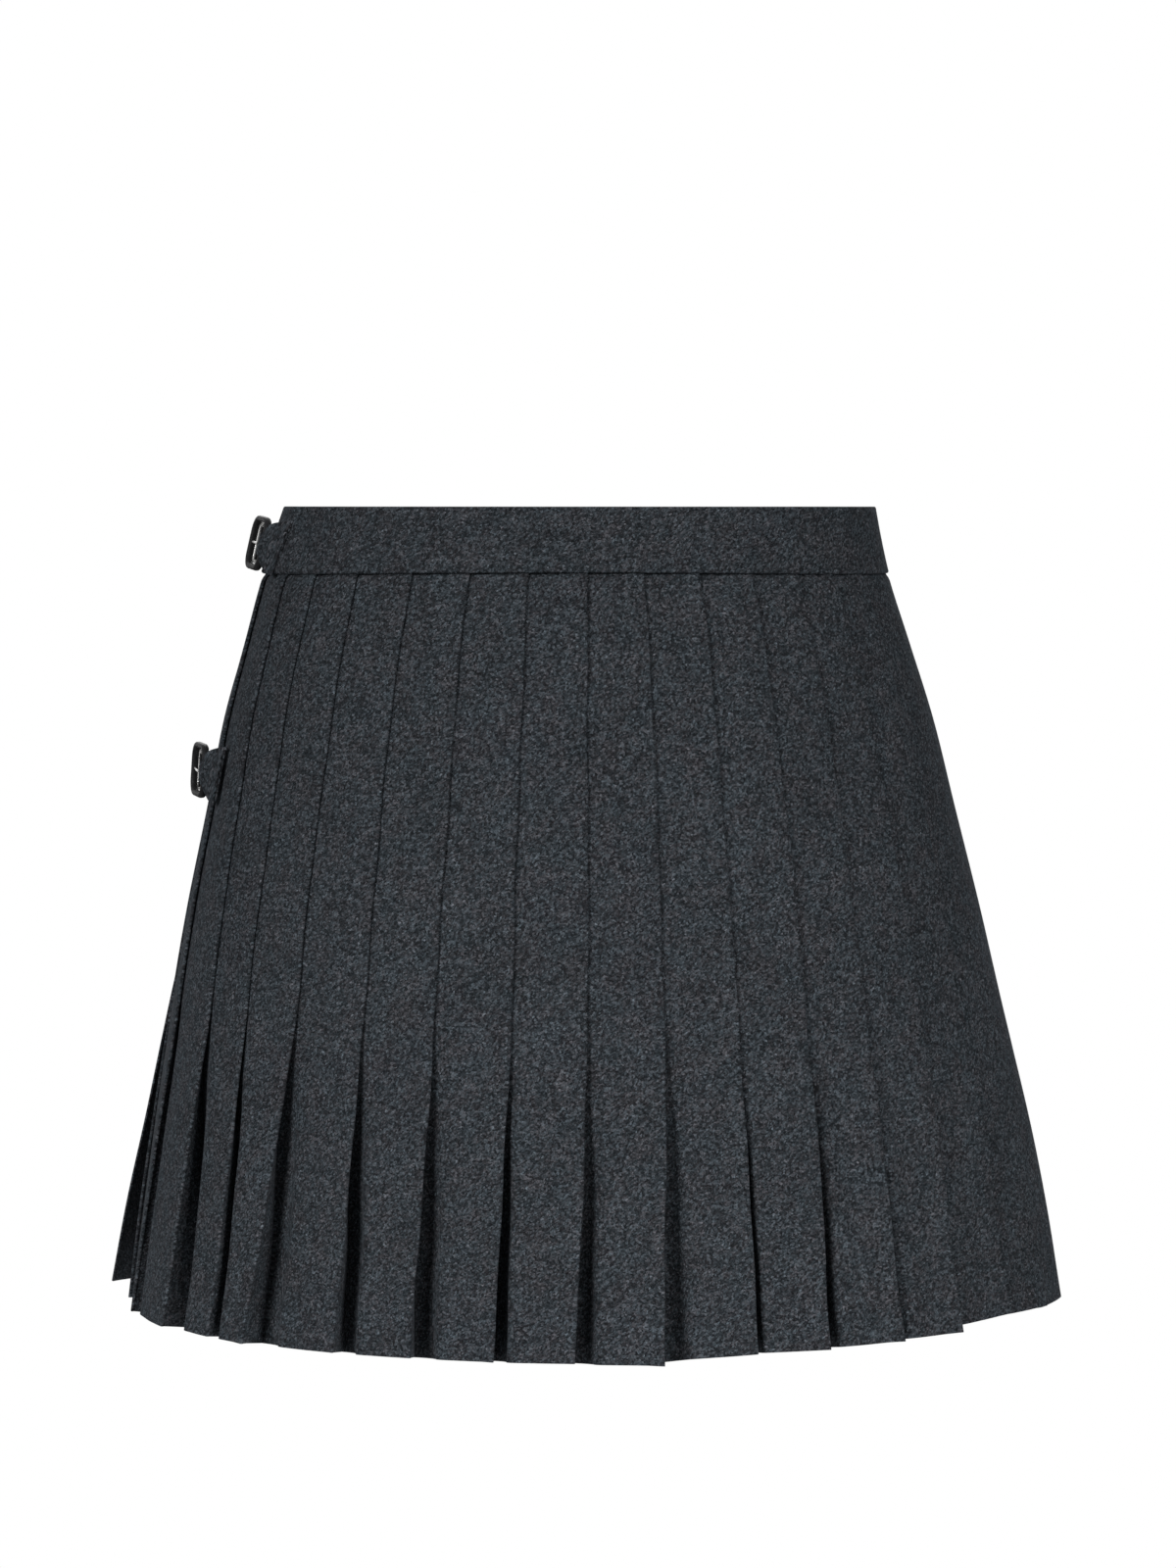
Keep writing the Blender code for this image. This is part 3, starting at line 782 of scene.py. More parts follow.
def wool_group() -> Tree:
    """Build the wool: short speckled yarns of a fine twill, with light, blue and brown fibres.

    Returns:
        The group.
    """
    build = GroupBuilder(Pattern.WOOL, ("Cloth", "Place"), (
        ("Rib Scale", 330.0), ("Yarn Scale", 1450.0), ("Fibre Scale", 2900.0), ("Contrast", 3.3)))
    cloth, place = build.given["Cloth"], build.given["Place"]
    rib = build.node("ShaderNodeTexWave", {
        "Vector": build.mapped(cloth, TWILL_TURN, (1.0, 1.0, 1.0)),
        "Scale": build.given["Rib Scale"], "Distortion": 3.6, "Detail": 2.0, "Detail Scale": 1.8,
    }, wave_type="BANDS", bands_direction="X").outputs["Fac"]
    stray = build.node("ShaderNodeTexNoise", {"Vector": cloth, "Scale": 1300.0})
    bent = build.node("ShaderNodeVectorMath", {
        0: stray.outputs["Color"], 1: (0.0005, 0.0005, 0.0), 2: cloth,
    }, operation="MULTIPLY_ADD").outputs[0]
    yarn = build.cells(build.mapped(bent, TWILL_TURN, (1.0, 0.66, 1.0)), build.given["Yarn Scale"])
    fibre = build.cells(build.mapped(bent, -25.0, (1.0, 0.5, 1.0)), build.given["Fibre Scale"])
    curl = build.noise(cloth, 1200.0, 2.0, 0.7)
    level = build.weighed((yarn[0], 0.5), (fibre[0], 0.3), (curl, 0.26), (rib, 0.06))
    gain = build.math("EXPONENT", build.math(
        "MULTIPLY", build.math("SUBTRACT", level, 0.66), build.given["Contrast"]))
    fleck = build.remap(yarn[2], 0.93, 1.0, 1.0, 1.7)
    soft = build.remap(build.noise(place, 110.0, 3.0, 0.6), 0.3, 0.7, 0.94, 1.06)
    broad = build.remap(build.noise(place, 24.0, 2.0, 0.5), 0.3, 0.7, 0.94, 1.06)
    gain = build.math("MULTIPLY", build.math("MULTIPLY", gain, fleck),
                      build.math("MULTIPLY", soft, broad))
    patch = build.noise(build.mapped(cloth, 20.0, (1.0, 0.8, 1.0)), 80.0, 2.0, 0.7)
    hue = build.weighed((patch, 0.72), (yarn[1], 0.28))
    tint = build.node("ShaderNodeValToRGB", {0: hue})
    ramp = tint.color_ramp.elements
    ramp[0].position, ramp[0].color = 0.34, (0.93, 1.02, 1.04, 1.0)
    ramp[1].position, ramp[1].color = 0.66, (1.1, 0.99, 0.97, 1.0)
    ramp.new(0.5).color = (0.99, 1.0, 1.0, 1.0)
    return build.finish(gain, build.remap(curl, 0.3, 0.7, 0.84, 1.0),
                        build.weighed((curl, 0.6), (rib, 0.2), (level, 0.3)),
                        build.times(build.given["Shade"], tint.outputs[0]))


def grain_group() -> Tree:
    """Build the leather: small rounded cells with fine creases between them.

    Returns:
        The group.
    """
    build = GroupBuilder(Pattern.GRAIN, amounts=(("Cell Scale", 900.0),))
    place = build.given["Place"]
    cells = build.node("ShaderNodeTexVoronoi", {
        "Vector": place, "Scale": build.given["Cell Scale"]}, feature="DISTANCE_TO_EDGE")
    swell = build.remap(cells.outputs["Distance"], 0.0, 0.25, 0.0, 1.0)
    wear = build.noise(place, 240.0, 4.0, 0.6)
    return build.finish(build.remap(wear, 0.3, 0.7, 0.75, 1.45),
                        build.remap(wear, 0.3, 0.7, 0.38, 0.56),
                        build.weighed((swell, 1.0), (wear, 0.6)))


def brush_group() -> Tree:
    """Build the metal: a bright polish with fine rubbing marks.

    Returns:
        The group.
    """
    build = GroupBuilder(Pattern.BRUSH)
    lines = build.noise(build.mapped(build.given["Place"], 0.0, (3.0, 3.0, 0.3)), 1400.0, 3.0, 0.6)
    return build.finish(build.remap(lines, 0.3, 0.7, 0.9, 1.06),
                        build.remap(lines, 0.3, 0.7, 0.14, 0.3), lines)


def twist_group() -> Tree:
    """Build the thread: two plies twisted together.

    Returns:
        The group.
    """
    build = GroupBuilder(Pattern.TWIST)
    plies = build.node("ShaderNodeTexWave", {"Vector": build.given["Place"], "Scale": 700.0},
                       wave_type="BANDS", bands_direction="DIAGONAL").outputs["Fac"]
    return build.finish(build.remap(plies, 0.0, 1.0, 0.7, 1.3),
                        build.remap(plies, 0.0, 1.0, 0.6, 0.8), plies)


@dataclass(frozen=True)
class Finish:
    """One finish: the values of its material and of the shader group that it uses."""

    name: str
    slot: str
    pattern: Pattern
    shade: tuple[float, float, float]
    metallic: float = 0.0
    bump: float = 0.5
    bump_depth: float = 0.0002
    specular: float = 0.5
    sheen: float = 0.0

    def material(self) -> bpy.types.Material:
        """Return the finish's material, made when it is first asked for.

        Returns:
            The material.
        """
        found = bpy.data.materials.get(self.name)
        if found:
            return found
        made = bpy.data.materials.new(self.name)
        made.use_nodes = True
        tree = made.node_tree
        shader = tree.nodes["Principled BSDF"]
        where = tree.nodes.new("ShaderNodeTexCoord").outputs
        group = tree.nodes.new("ShaderNodeGroup")
        group.node_tree = GROUPS[self.pattern]
        bump = tree.nodes.new("ShaderNodeBump")
        for node, name, value in (
            (shader, "Metallic", self.metallic), (shader, "Specular IOR Level", self.specular),
            (shader, "Sheen Weight", self.sheen), (shader, "Sheen Roughness", SHEEN_ROUGHNESS),
            (shader, "Sheen Tint", SHEEN_TINT), (group, "Shade", (*self.shade, 1.0)),
            (bump, "Strength", self.bump), (bump, "Distance", self.bump_depth),
        ):
            node.inputs[name].default_value = value
        if "Cloth" in group.inputs:
            tree.links.new(where["UV"], group.inputs["Cloth"])
        for source, target in (
            (where["Object"], group.inputs["Place"]),
            (group.outputs["Color"], shader.inputs["Base Color"]),
            (group.outputs["Roughness"], shader.inputs["Roughness"]),
            (group.outputs["Height"], bump.inputs["Height"]),
            (bump.outputs["Normal"], shader.inputs["Normal"]),
        ):
            tree.links.new(source, target)
        return made


GROUPS = {
    Pattern.WOOL: wool_group(),
    Pattern.GRAIN: grain_group(),
    Pattern.BRUSH: brush_group(),
    Pattern.TWIST: twist_group(),
}
WOOL = Finish("charcoal_wool_twill", "wool", Pattern.WOOL, (0.038, 0.0425, 0.0485), bump=0.4,
              bump_depth=0.00025, specular=0.03, sheen=0.04)
LEATHER = Finish("black_leather", "leather", Pattern.GRAIN, (0.012, 0.012, 0.013), bump=0.35,
                 bump_depth=0.00012, specular=0.1)
STEEL = Finish("polished_steel", "steel", Pattern.BRUSH, (0.88, 0.88, 0.87), metallic=0.6,
               bump=0.1, bump_depth=0.00002)
THREAD = Finish("dark_thread", "wool", Pattern.TWIST, (0.02, 0.021, 0.023), bump=0.4,
                bump_depth=0.00006, specular=0.3)


# Mesh helpers


def put(name: str, data: bpy.types.ID) -> Piece:
    """Put a new object with its data into the scene.

    Args:
        name: The object's name.
        data: Its mesh, lamp or camera.

    Returns:
        The new object.
    """
    made = bpy.data.objects.new(name, data)
    bpy.context.scene.collection.objects.link(made)
    return made


def new_piece(name: str, mesh: bpy.types.Mesh, finish: Finish, *nodes: str) -> Piece:
    """Put a mesh into the scene as a piece of the garment.

    Args:
        name: The piece's name.
        mesh: Its mesh, in place in the frame.
        finish: What it is made of.
        nodes: The solids that it stands for.

    Returns:
        The new object.
    """
    piece = put(name, mesh)
    mesh.materials.clear()
    mesh.materials.append(finish.material())
    if nodes:
        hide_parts(*nodes)
    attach(piece, BODY)
    LOG.info("%s: %d faces", name, len(mesh.polygons))
    return piece


def sheet_mesh(name: str, grid: Array, cloth: Array) -> bpy.types.Mesh:
    """Make an open sheet from a grid of points.

    Args:
        name: The mesh's name.
        grid: Points in millimetres, rows from the top down, columns towards the wearer's right.
        cloth: The cloth's own flat place at each point, in millimetres.

    Returns:
        The mesh, with the flat places as its UV map in metres.
    """
    rows, columns = grid.shape[:2]
    index = np.arange(rows * columns).reshape(rows, columns)
    corners = np.stack([index[:-1, :-1], index[1:, :-1], index[1:, 1:], index[:-1, 1:]], axis=-1)
    mesh = bpy.data.meshes.new(name)
    mesh.from_pydata((grid.reshape(-1, 3) * MM).tolist(), [], corners.reshape(-1, 4).tolist())
    layer = mesh.uv_layers.new(name="cloth")
    loops = np.zeros(len(mesh.loops), dtype=np.int32)
    mesh.loops.foreach_get("vertex_index", loops)
    layer.data.foreach_set("uv", (cloth.reshape(-1, 2)[loops] * MM).astype(np.float32).ravel())
    mesh.shade_smooth()
    return mesh


def give_thickness(piece: Piece, thickness: float, rounding: float, segments: int = 2) -> None:
    """Turn an open sheet into a wall with rounded edges, both in millimetres.

    Args:
        piece: The open sheet.
        thickness: The wall's thickness.
        rounding: The radius of its edges.
        segments: How many faces go round an edge.
    """
    wall = piece.modifiers.new("wall", "SOLIDIFY")
    wall.thickness = thickness * MM
    wall.offset = 0.0
    wall.use_even_offset = True
    edges = piece.modifiers.new("rounded_edges", "BEVEL")
    edges.width = rounding * MM
    edges.segments = segments
    edges.limit_method = "ANGLE"
    edges.angle_limit = math.radians(BEVEL_ANGLE)
    edges.use_clamp_overlap = True


def flat_places(grid: Array, across: Array) -> Array:
    """Return the cloth's flat place at each point, from its place across and its way down.

    Args:
        grid: The cloth's points, rows from the top down.
        across: The cloth's own place across at each point.

    Returns:
        Places across and up, in millimetres, 0 along the top row.
    """
    down = np.mean(np.linalg.norm(np.diff(grid, axis=0), axis=2), axis=1)
    way = np.concatenate([[0.0], np.cumsum(down)])
    return np.stack([across, -np.broadcast_to(way[:, None], across.shape)], axis=-1)


def cloth_piece(form: Form, name: str, node: str, rows: Iterable[ClothRow],
                wall: tuple[float, ...]) -> Piece:
    """Build a wall of wool from its rows.

    Args:
        form: The garment's form.
        name: The piece's name.
        node: The solid that it stands for.
        rows: For each row its section, places along, distances out, how much longer it hangs
            and the cloth's own places across.
        wall: Its thickness, the rounding of its edges and that rounding's segments.

    Returns:
        The new piece.
    """
    grid, across = [], []
    for section, along, out, longer, place in rows:
        grid.append(form.row(section, along, out, longer))
        across.append(place)
    points = np.array(grid)
    mesh = sheet_mesh(name, points, flat_places(points, np.array(across)))
    piece = new_piece(name, mesh, WOOL, node)
    give_thickness(piece, *wall)
    return piece


def tube_mesh(name: str, rings: Sequence[Sequence[Vector]], endless: bool) -> bpy.types.Mesh:
    """Make a smooth closed mesh through rings of points.

    Args:
        name: The mesh's name.
        rings: The points of each ring in millimetres, as many in every one.
        endless: Whether the last ring joins the first; otherwise both ends are capped.

    Returns:
        The mesh, with its faces pointing out.
    """
    count, sides = len(rings), len(rings[0])
    faces = []
    for this in range(count if endless else count - 1):
        following = (this + 1) % count
        for side in range(sides):
            turn = (side + 1) % sides
            faces.append((this * sides + side, this * sides + turn,
                          following * sides + turn, following * sides + side))
    if not endless:
        faces += [tuple(range(sides)), tuple(range((count - 1) * sides, count * sides))]
    mesh = bpy.data.meshes.new(name)
    mesh.from_pydata([tuple(point * MM) for ring in rings for point in ring], [], faces)
    form = bmesh.new()
    form.from_mesh(mesh)
    bmesh.ops.recalc_face_normals(form, faces=form.faces)
    form.to_mesh(mesh)
    form.free()
    mesh.shade_smooth()
    mesh.set_sharp_from_angle(angle=math.radians(SHARP_ANGLE))
    return mesh


# The cloth pieces


@dataclass
class PleatedBack:
    """The pleated cloth, in four lengths that meet in inner folds."""

    form: Form
    pleats: Pleats
    thickness: float = 0.7
    rounding: float = 0.3
    rows: int = 76

    panels = (
        ("left_side", -8, -5),
        ("left_back", -4, -1),
        ("right_back", 0, 3),
        ("right_side", 4, 9),
    )

    def build(self) -> None:
        """Build every panel."""
        for name, first, last in self.panels:
            self.panel(name, first, last)

    def panel(self, name: str, first: int, last: int) -> None:
        """Args:
            name: The panel's name.
            first: Its first fold.
            last: Its last fold.
        """
        rows = ((section, *self.pleats.profile(section, first, last))
                for section in self.form.cloth_rows(self.rows))
        piece = cloth_piece(self.form, f"pleats_{name}", f"pleated_panel_{name}", rows,
                            (self.thickness, self.rounding))


@dataclass
class Aprons:
    """The plain outer apron and the under apron inside it."""

    form: Form
    pleats: Pleats
    thickness: float = 1.0
    rounding: float = 0.3
    rows: int = 60
    columns: int = 110
    over_settled: float = 10.0
    flare: float = 16.0
    flare_run: float = 0.32
    flare_start: float = 150.0
    flare_bend: float = 1.3
    longer: float = 5.0
    corner_run: float = 45.0

    first_counts = (4, 4, 4, 4, 8)

    def build(self) -> None:
        wall = (self.thickness, self.rounding)
        piece = cloth_piece(self.form, "outer_apron", "over_apron", self.over(), wall)
        piece = cloth_piece(self.form, "inner_apron", "under_apron", self.under(), wall)

    def kick(self, section: Section, along: Array, edge: float) -> Array:
        """Return how far the free edge stands out at places along the outline.

        Args:
            section: The outline at the row's drop.
            along: Places along the outline.
            edge: The free edge's place.

        Returns:
            One distance for each place.
        """
        down = max(section.drop - self.flare_start, 0.0) / (self.form.hem_drop - self.flare_start)
        run = self.flare_run * self.form.way_round(section)
        near = np.clip((along - edge + run) / run, 0.0, 1.0)
        return self.flare * down ** self.flare_bend * near ** 2

    def over(self) -> Iterator[ClothRow]:
        """Yield the outer apron's rows, from under the last pleat to its free edge.

        Yields:
            Each row, from the top down.
        """
        for section in self.form.cloth_rows(self.rows):
            start = np.array(self.pleats.start(section, self.pleats.last + 1, section.pitch))
            edge = self.pleats.over_end(section)
            settled = self.over_settled * section.pitch
            first = rounded(np.vstack([start, [[settled, 0.0]]]), self.first_counts)[:-1]
            front = np.linspace(settled, edge, self.columns)
            along = np.concatenate([first[:, 0], front])
            out = np.concatenate([first[:, 1], self.kick(section, front, edge)])
            down = np.clip(np.minimum(along - along[0], edge - along) / self.corner_run, 0.0, 1.0)
            yield (section, along, out, self.longer * section.openness * down,
                   along - self.form.way_round(section) / 2)

    def under(self) -> Iterator[ClothRow]:
        """Yield the under apron's rows.

        Yields:
            Each row, from the top down.
        """
        for section in self.form.cloth_rows(self.rows):
            along = np.linspace(*self.pleats.under_reach(section), self.columns)
            out = np.full(self.columns, -self.pleats.under_depth(section))
            yield section, along, out, 0.0, along - self.form.way_round(section) / 2


@dataclass
class Waistband:
    """The straight band, folded at its top edge, in three stretches."""

    form: Form
    pleats: Pleats
    thickness: float = 2.4
    rounding: float = 0.9
    segments: int = 3
    depth: float = 0.4
    join: float = 9.3
    level: float = -7.2
    dive_steps: int = 6
    rows: int = 12
    columns: int = 150

    dive = ((-9.2, 1.0), (-8.9, 1.0), (-8.6, 0.92), (-8.3, 0.55), (-8.0, 0.2), (-7.7, 0.02))

    def build(self) -> None:
        """Build the three stretches."""
        sections = self.form.rows_between(0.0, self.form.band_height, self.rows)
        self.stretch("back", sections, self.back_line)
        self.stretch("front", sections, self.front_line)
        self.stretch("under", sections, self.under_line)

    def back_line(self, section: Section) -> tuple[Array, Array]:
        """Return the line round the back, which goes in under its own outer end.

        Args:
            section: The outline at the row's drop.

        Returns:
            Places along the outline and distances out.
        """
        deep = self.pleats.under_depth_top
        places = np.array([place for place, _ in self.dive] + [self.level]) * section.pitch
        depths = [-mix(self.depth, deep, share) for _, share in self.dive] + [-self.depth]
        dive = rounded(np.column_stack([places, depths]), [self.dive_steps] * len(self.dive))[:-1]
        along = np.linspace(self.level, self.join, self.columns) * section.pitch
        out = np.full(self.columns, -self.depth)
        return np.concatenate([dive[:, 0], along]), np.concatenate([dive[:, 1], out])

    def front_line(self, section: Section) -> tuple[Array, Array]:
        """Return the line over the front.

        Args:
            section: The outline at the row's drop.

        Returns:
            Places along the outline and distances out.
        """
        start = self.join * section.pitch + self.pleats.seam_gap
        along = np.linspace(start, self.pleats.over_end(section), self.columns)
        return along, np.full(self.columns, -self.depth)

    def under_line(self, section: Section) -> tuple[Array, Array]:
        """Return the line under the apron."""
        along = np.linspace(*self.pleats.under_reach(section), self.columns)
        return along, np.full(self.columns, -self.pleats.under_depth_top)

    def stretch(self, name: str, sections: list[Section],
                line: Callable[[Section], tuple[Array, Array]]) -> None:
        """Args:
            name: The stretch's name.
            sections: Its rows.
            line: What gives its line at a section.
        """
        lines = [line(section) for section in sections]
        rows = ((section, along, out, 0.0, along)
                for section, (along, out) in zip(sections, lines))
        piece = cloth_piece(self.form, f"band_{name}", f"waistband_{name}", rows,
                            (self.thickness, self.rounding, self.segments))
        length = float(np.ptp(lines[0][0])) * MM


# Stitches, by Geometry Nodes


class StitchTree:
    """A Geometry Nodes tree that sets small stitches along the edges of a mesh line."""

    def __init__(self) -> None:
        """Build the tree with its named inputs."""
        self.tree = bpy.data.node_groups.new("stitches_along_line", "GeometryNodeTree")
        self.identifiers: dict[str, str] = {}
        line = "NodeSocketGeometry"
        for name, kind in (("Line", line), ("Step", NUMBER), ("Length", NUMBER),
                           ("Thickness", NUMBER), ("Material", "NodeSocketMaterial")):
            made = self.tree.interface.new_socket(name, in_out="INPUT", socket_type=kind)
            self.identifiers[name] = made.identifier
        self.tree.interface.new_socket("Stitches", in_out="OUTPUT", socket_type=line)
        self.link_up()

    def link_up(self) -> None:
        """Add the nodes and link them."""
        made = {name: self.tree.nodes.new(kind) for name, kind in (
            ("given", "NodeGroupInput"), ("curve", "GeometryNodeMeshToCurve"),
            ("spread", "GeometryNodeResampleCurve"), ("tangent", "GeometryNodeInputTangent"),
            ("turn", "FunctionNodeAlignEulerToVector"), ("grain", "GeometryNodeMeshUVSphere"),
            ("size", "ShaderNodeCombineXYZ"), ("shape", "GeometryNodeTransform"),
            ("placed", "GeometryNodeInstanceOnPoints"), ("whole", "GeometryNodeRealizeInstances"),
            ("smooth", "GeometryNodeSetShadeSmooth"), ("dress", "GeometryNodeSetMaterial"),
            ("result", "NodeGroupOutput"),
        )}
        made["spread"].mode = "LENGTH"
        made["turn"].axis = "Z"
        for name, value in (("Segments", 6), ("Rings", 5), ("Radius", 0.5)):
            made["grain"].inputs[name].default_value = value
        for link in (
            "given Line curve Mesh", "curve Curve spread Curve", "given Step spread Length",
            "tangent Tangent turn Vector", "given Thickness size X", "given Thickness size Y",
            "given Length size Z", "grain Mesh shape Geometry", "size Vector shape Scale",
            "spread Curve placed Points", "shape Geometry placed Instance",
            "turn Rotation placed Rotation", "placed Instances whole Geometry",
            "whole Geometry smooth Geometry", "smooth Geometry dress Geometry",
            "given Material dress Material", "dress Geometry result Stitches",
        ):
            source, output, target, taken = link.split()
            self.tree.links.new(made[source].outputs[output], made[target].inputs[taken])

    def sew(self, name: str, lines: Sequence[Array], step: float = 2.3, length: float = 1.7,
            thickness: float = 0.42) -> Piece:
        """Sew along lines.

        Args:
            name: The new piece's name.
            lines: Each a row of points in millimetres.
            step: From one stitch to the next.
            length: A stitch's length.
            thickness: The thread's thickness.

        Returns:
            The stitches as one piece.
        """
        points, edges = [], []
        for line in lines:
            begin = len(points)
            edges.extend((begin + place, begin + place + 1) for place in range(len(line) - 1))
            points.extend((line * MM).tolist())
        mesh = bpy.data.meshes.new(name + "_line")
        mesh.from_pydata(points, edges, [])
        guide = put(name + "_line", mesh)
        modifier = guide.modifiers.new("stitches", "NODES")
        modifier.node_group = self.tree
        for key, value in (("Step", step * MM), ("Length", length * MM),
                           ("Thickness", thickness * MM), ("Material", THREAD.material())):
            modifier[self.identifiers[key]] = value
        bpy.context.view_layer.update()
        evaluated = guide.evaluated_get(bpy.context.evaluated_depsgraph_get())
        sewn = bpy.data.meshes.new_from_object(evaluated)
        sewn.name = name
        bpy.data.objects.remove(guide)
        return new_piece(name, sewn, THREAD)


# The strap closures


@dataclass
class StrapClosure:
    """One closure: a cloth tab holds a leather ring with a metal lining; a strap runs through."""

    form: Form
    stitches: StitchTree
    closure: Closure
    ring_length: float = 27.0
    ring_height: float = 24.6
    ring_bar: float = 2.8
    ring_thick: float = 3.4
    ring_raise: float = 0.4
    ring_corner: float = 7.4
    ring_squareness: float = 2.4
    ring_sides: int = 16
    ring_steps: int = 8
    rear_bar_out: float = 4.0
    roll: float = 6.5
    lining_rear: float = -9.1
    lining_front: float = 10.6
    lining_height: float = 18.8
    lining_bar: float = 1.0
    lining_thick: float = 2.2
    lining_sink: float = 1.8
    lining_corner: float = 3.8
    lining_squareness: float = 6.0
    prong_radius: float = 0.6
    prong_tip_radius: float = 0.45
    prong_sides: int = 20
    strap_thick: float = 1.8
    tab_thick: float = 0.9
    probe_drop: float = 8.0
    probe_along: float = 5.0
    fine: int = 6
    strip_rows: int = 9
    strip_rounding: float = 0.3
    strip_segments: int = 3
    seam_rows: int = 17
    seam_inset: int = 2
    seam_end: int = 8
    seam_lift: float = 0.02

    def __post_init__(self) -> None:
        """Work out the ring's own plane."""
        self.plane = self.ring_plane()

    def along_at(self, section: Section) -> float:
        """Return where the ring's centre lies along the outline."""
        return -(self.form.way_round(section) / 4 - self.closure.behind_side)

    def ring_plane(self) -> Matrix:
        """Return the tilted ring's left-handed frame: x to the front, y up, z outwards.

        Returns:
            The frame, its origin in the middle of the ring.
        """
        corners = []
        for down in (-self.probe_drop, 0.0, self.probe_drop):
            section = self.form.section_at(self.closure.drop + down)
            places = self.along_at(section) + np.array([self.probe_along, 0.0, -self.probe_along])
            corners.append(self.form.row(section, places, np.zeros(3)))
        above, level, below = corners
        forward = Vector(level[2] - level[0]).normalized()
        upward = Vector(above[1] - below[1])
        upward = (upward - forward * upward.dot(forward)).normalized()
        outward = upward.cross(forward)
        turned = Matrix((forward, upward, outward)).transposed().to_4x4()
        plane = Matrix.Translation(Vector(level[1])) @ turned
        tilt = math.radians(self.closure.tilt)
        stand = self.rear_bar_out + (self.ring_length - self.ring_bar) / 2 * math.sin(tilt)
        lean = Matrix.Translation((0.0, 0.0, stand)) @ Matrix.Rotation(-tilt, 4, "Y")
        return plane @ lean @ Matrix.Rotation(math.radians(self.roll), 4, "X")

    def stop_point(self, stop: Stop, side: float) -> Array:
        """Return a stop's point in space.

        Args:
            stop: The stop.
            side: 1 for its upper edge, 0 for its middle, -1 for its lower edge.

        Returns:
            The point in millimetres.
        """
        if stop.on == "ring":
            return np.array(self.plane @ Vector((stop.along, side * stop.half, stop.out)))
        rise = side * stop.half * self.plane.col[1][2]
        section = self.form.section_at(self.closure.drop - rise)
        along = np.array([self.along_at(section) - stop.along])
        return self.form.row(section, along, np.array([stop.out]))[0]

    def strip_grid(self, stops: Sequence[Stop], across: int) -> Array:
        """Return a strip's grid of points, rows from its upper to its lower edge.

        Args:
            stops: The strip's stops, from end to end.
            across: How many rows it gets.

        Returns:
            The points in millimetres.
        """
        counts = [self.fine] * (len(stops) - 1)
        edges = [rounded([self.stop_point(stop, side) for stop in stops], counts)
                 for side in (1.0, 0.0, -1.0)]
        rows = []
        for share in np.linspace(0.0, 2.0, across):
            above = min(int(share), 1)
            rows.append(mix(edges[above], edges[above + 1], share - above))
        return np.array(rows)

    def strip(self, name: str, node: str, stops: Sequence[Stop], thickness: float,
              finish: Finish) -> Piece:
        """Build a tab or strap through its stops.

        Args:
            name: The piece's name.
            node: The solid that it stands for.
            stops: Its stops, from end to end.
            thickness: Its thickness.
            finish: What it is made of.

        Returns:
            The new piece.
        """
        grid = self.strip_grid(stops, self.strip_rows)
        way = way_along(grid[self.strip_rows // 2])
        across = np.broadcast_to(way, grid.shape[:2])
        piece = new_piece(name, sheet_mesh(name, grid, flat_places(grid, across)), finish, node)
        give_thickness(piece, thickness, thickness * self.strip_rounding, self.strip_segments)
        return piece

    def ring(self, name: str, node: str, centre: tuple[float, float], size: tuple[float, float],
             corner: float, bar: tuple[float, float], squareness: float, finish: Finish) -> None:
        """Build a rounded rectangle ring.

        Args:
            name: The piece's name.
            node: The solid that it stands for.
            centre: Its centre along and out, in the ring's frame.
            size: Its length and height outside.
            corner: Its outer corner radius.
            bar: The bar's width and thickness.
            squareness: The power of the bar's superellipse section, 2 for an oval.
            finish: What it is made of.
        """
        width, thickness = bar
        half = Vector(((size[0] - width) / 2, (size[1] - width) / 2))
        radius = corner - width / 2
        rings = []
        for quarter in range(4):
            middle = Vector(((half.x - radius) * (1 if quarter in (0, 3) else -1),
                             (half.y - radius) * (1 if quarter in (0, 1) else -1)))
            for step in range(self.ring_steps + 1):
                angle = (quarter + step / self.ring_steps) * math.pi / 2
                direction = Vector((math.cos(angle), math.sin(angle)))
                ring = []
                for side in range(self.ring_sides):
                    turn = 2 * math.pi * side / self.ring_sides
                    across, rise = (math.copysign(abs(value) ** (2 / squareness), value)
                                    for value in (math.cos(turn), math.sin(turn)))
                    plan = middle + direction * (radius + width / 2 * across)
                    local = Vector((centre[0] + plan.x, plan.y, centre[1] + thickness / 2 * rise))
                    ring.append(self.plane @ local)
                rings.append(ring)
        new_piece(name, tube_mesh(name, rings, endless=True), finish, node)

    def prong(self) -> None:
        """Build the tapered prong with its rounded tip."""
        base = Vector(self.stop_point(PRONG_BASE, 0.0))
        tip = Vector(self.stop_point(PRONG_TIP, 0.0))
        axis = (tip - base).normalized()
        first = axis.orthogonal().normalized()
        second = axis.cross(first)
        length, thick, thin = (tip - base).length, self.prong_radius, self.prong_tip_radius
        profile = [(0.0, thick * 0.5), (0.15, thick * 0.86), (0.5, thick),
                   (length * 0.45, thick * 0.9), (length - 1.2, thin * 1.1),
                   (length - 0.45, thin * 0.86), (length - 0.1, thin * 0.4)]
        turns = [2 * math.pi * side / self.prong_sides for side in range(self.prong_sides)]
        rings = [[base + axis * way + (first * math.cos(turn) + second * math.sin(turn)) * radius
                  for turn in turns] for way, radius in profile]
        name = f"prong_pin_{self.closure.name}"
        mesh = tube_mesh(name, rings, endless=False)
        new_piece(name, mesh, STEEL, f"prong_{self.closure.name}")

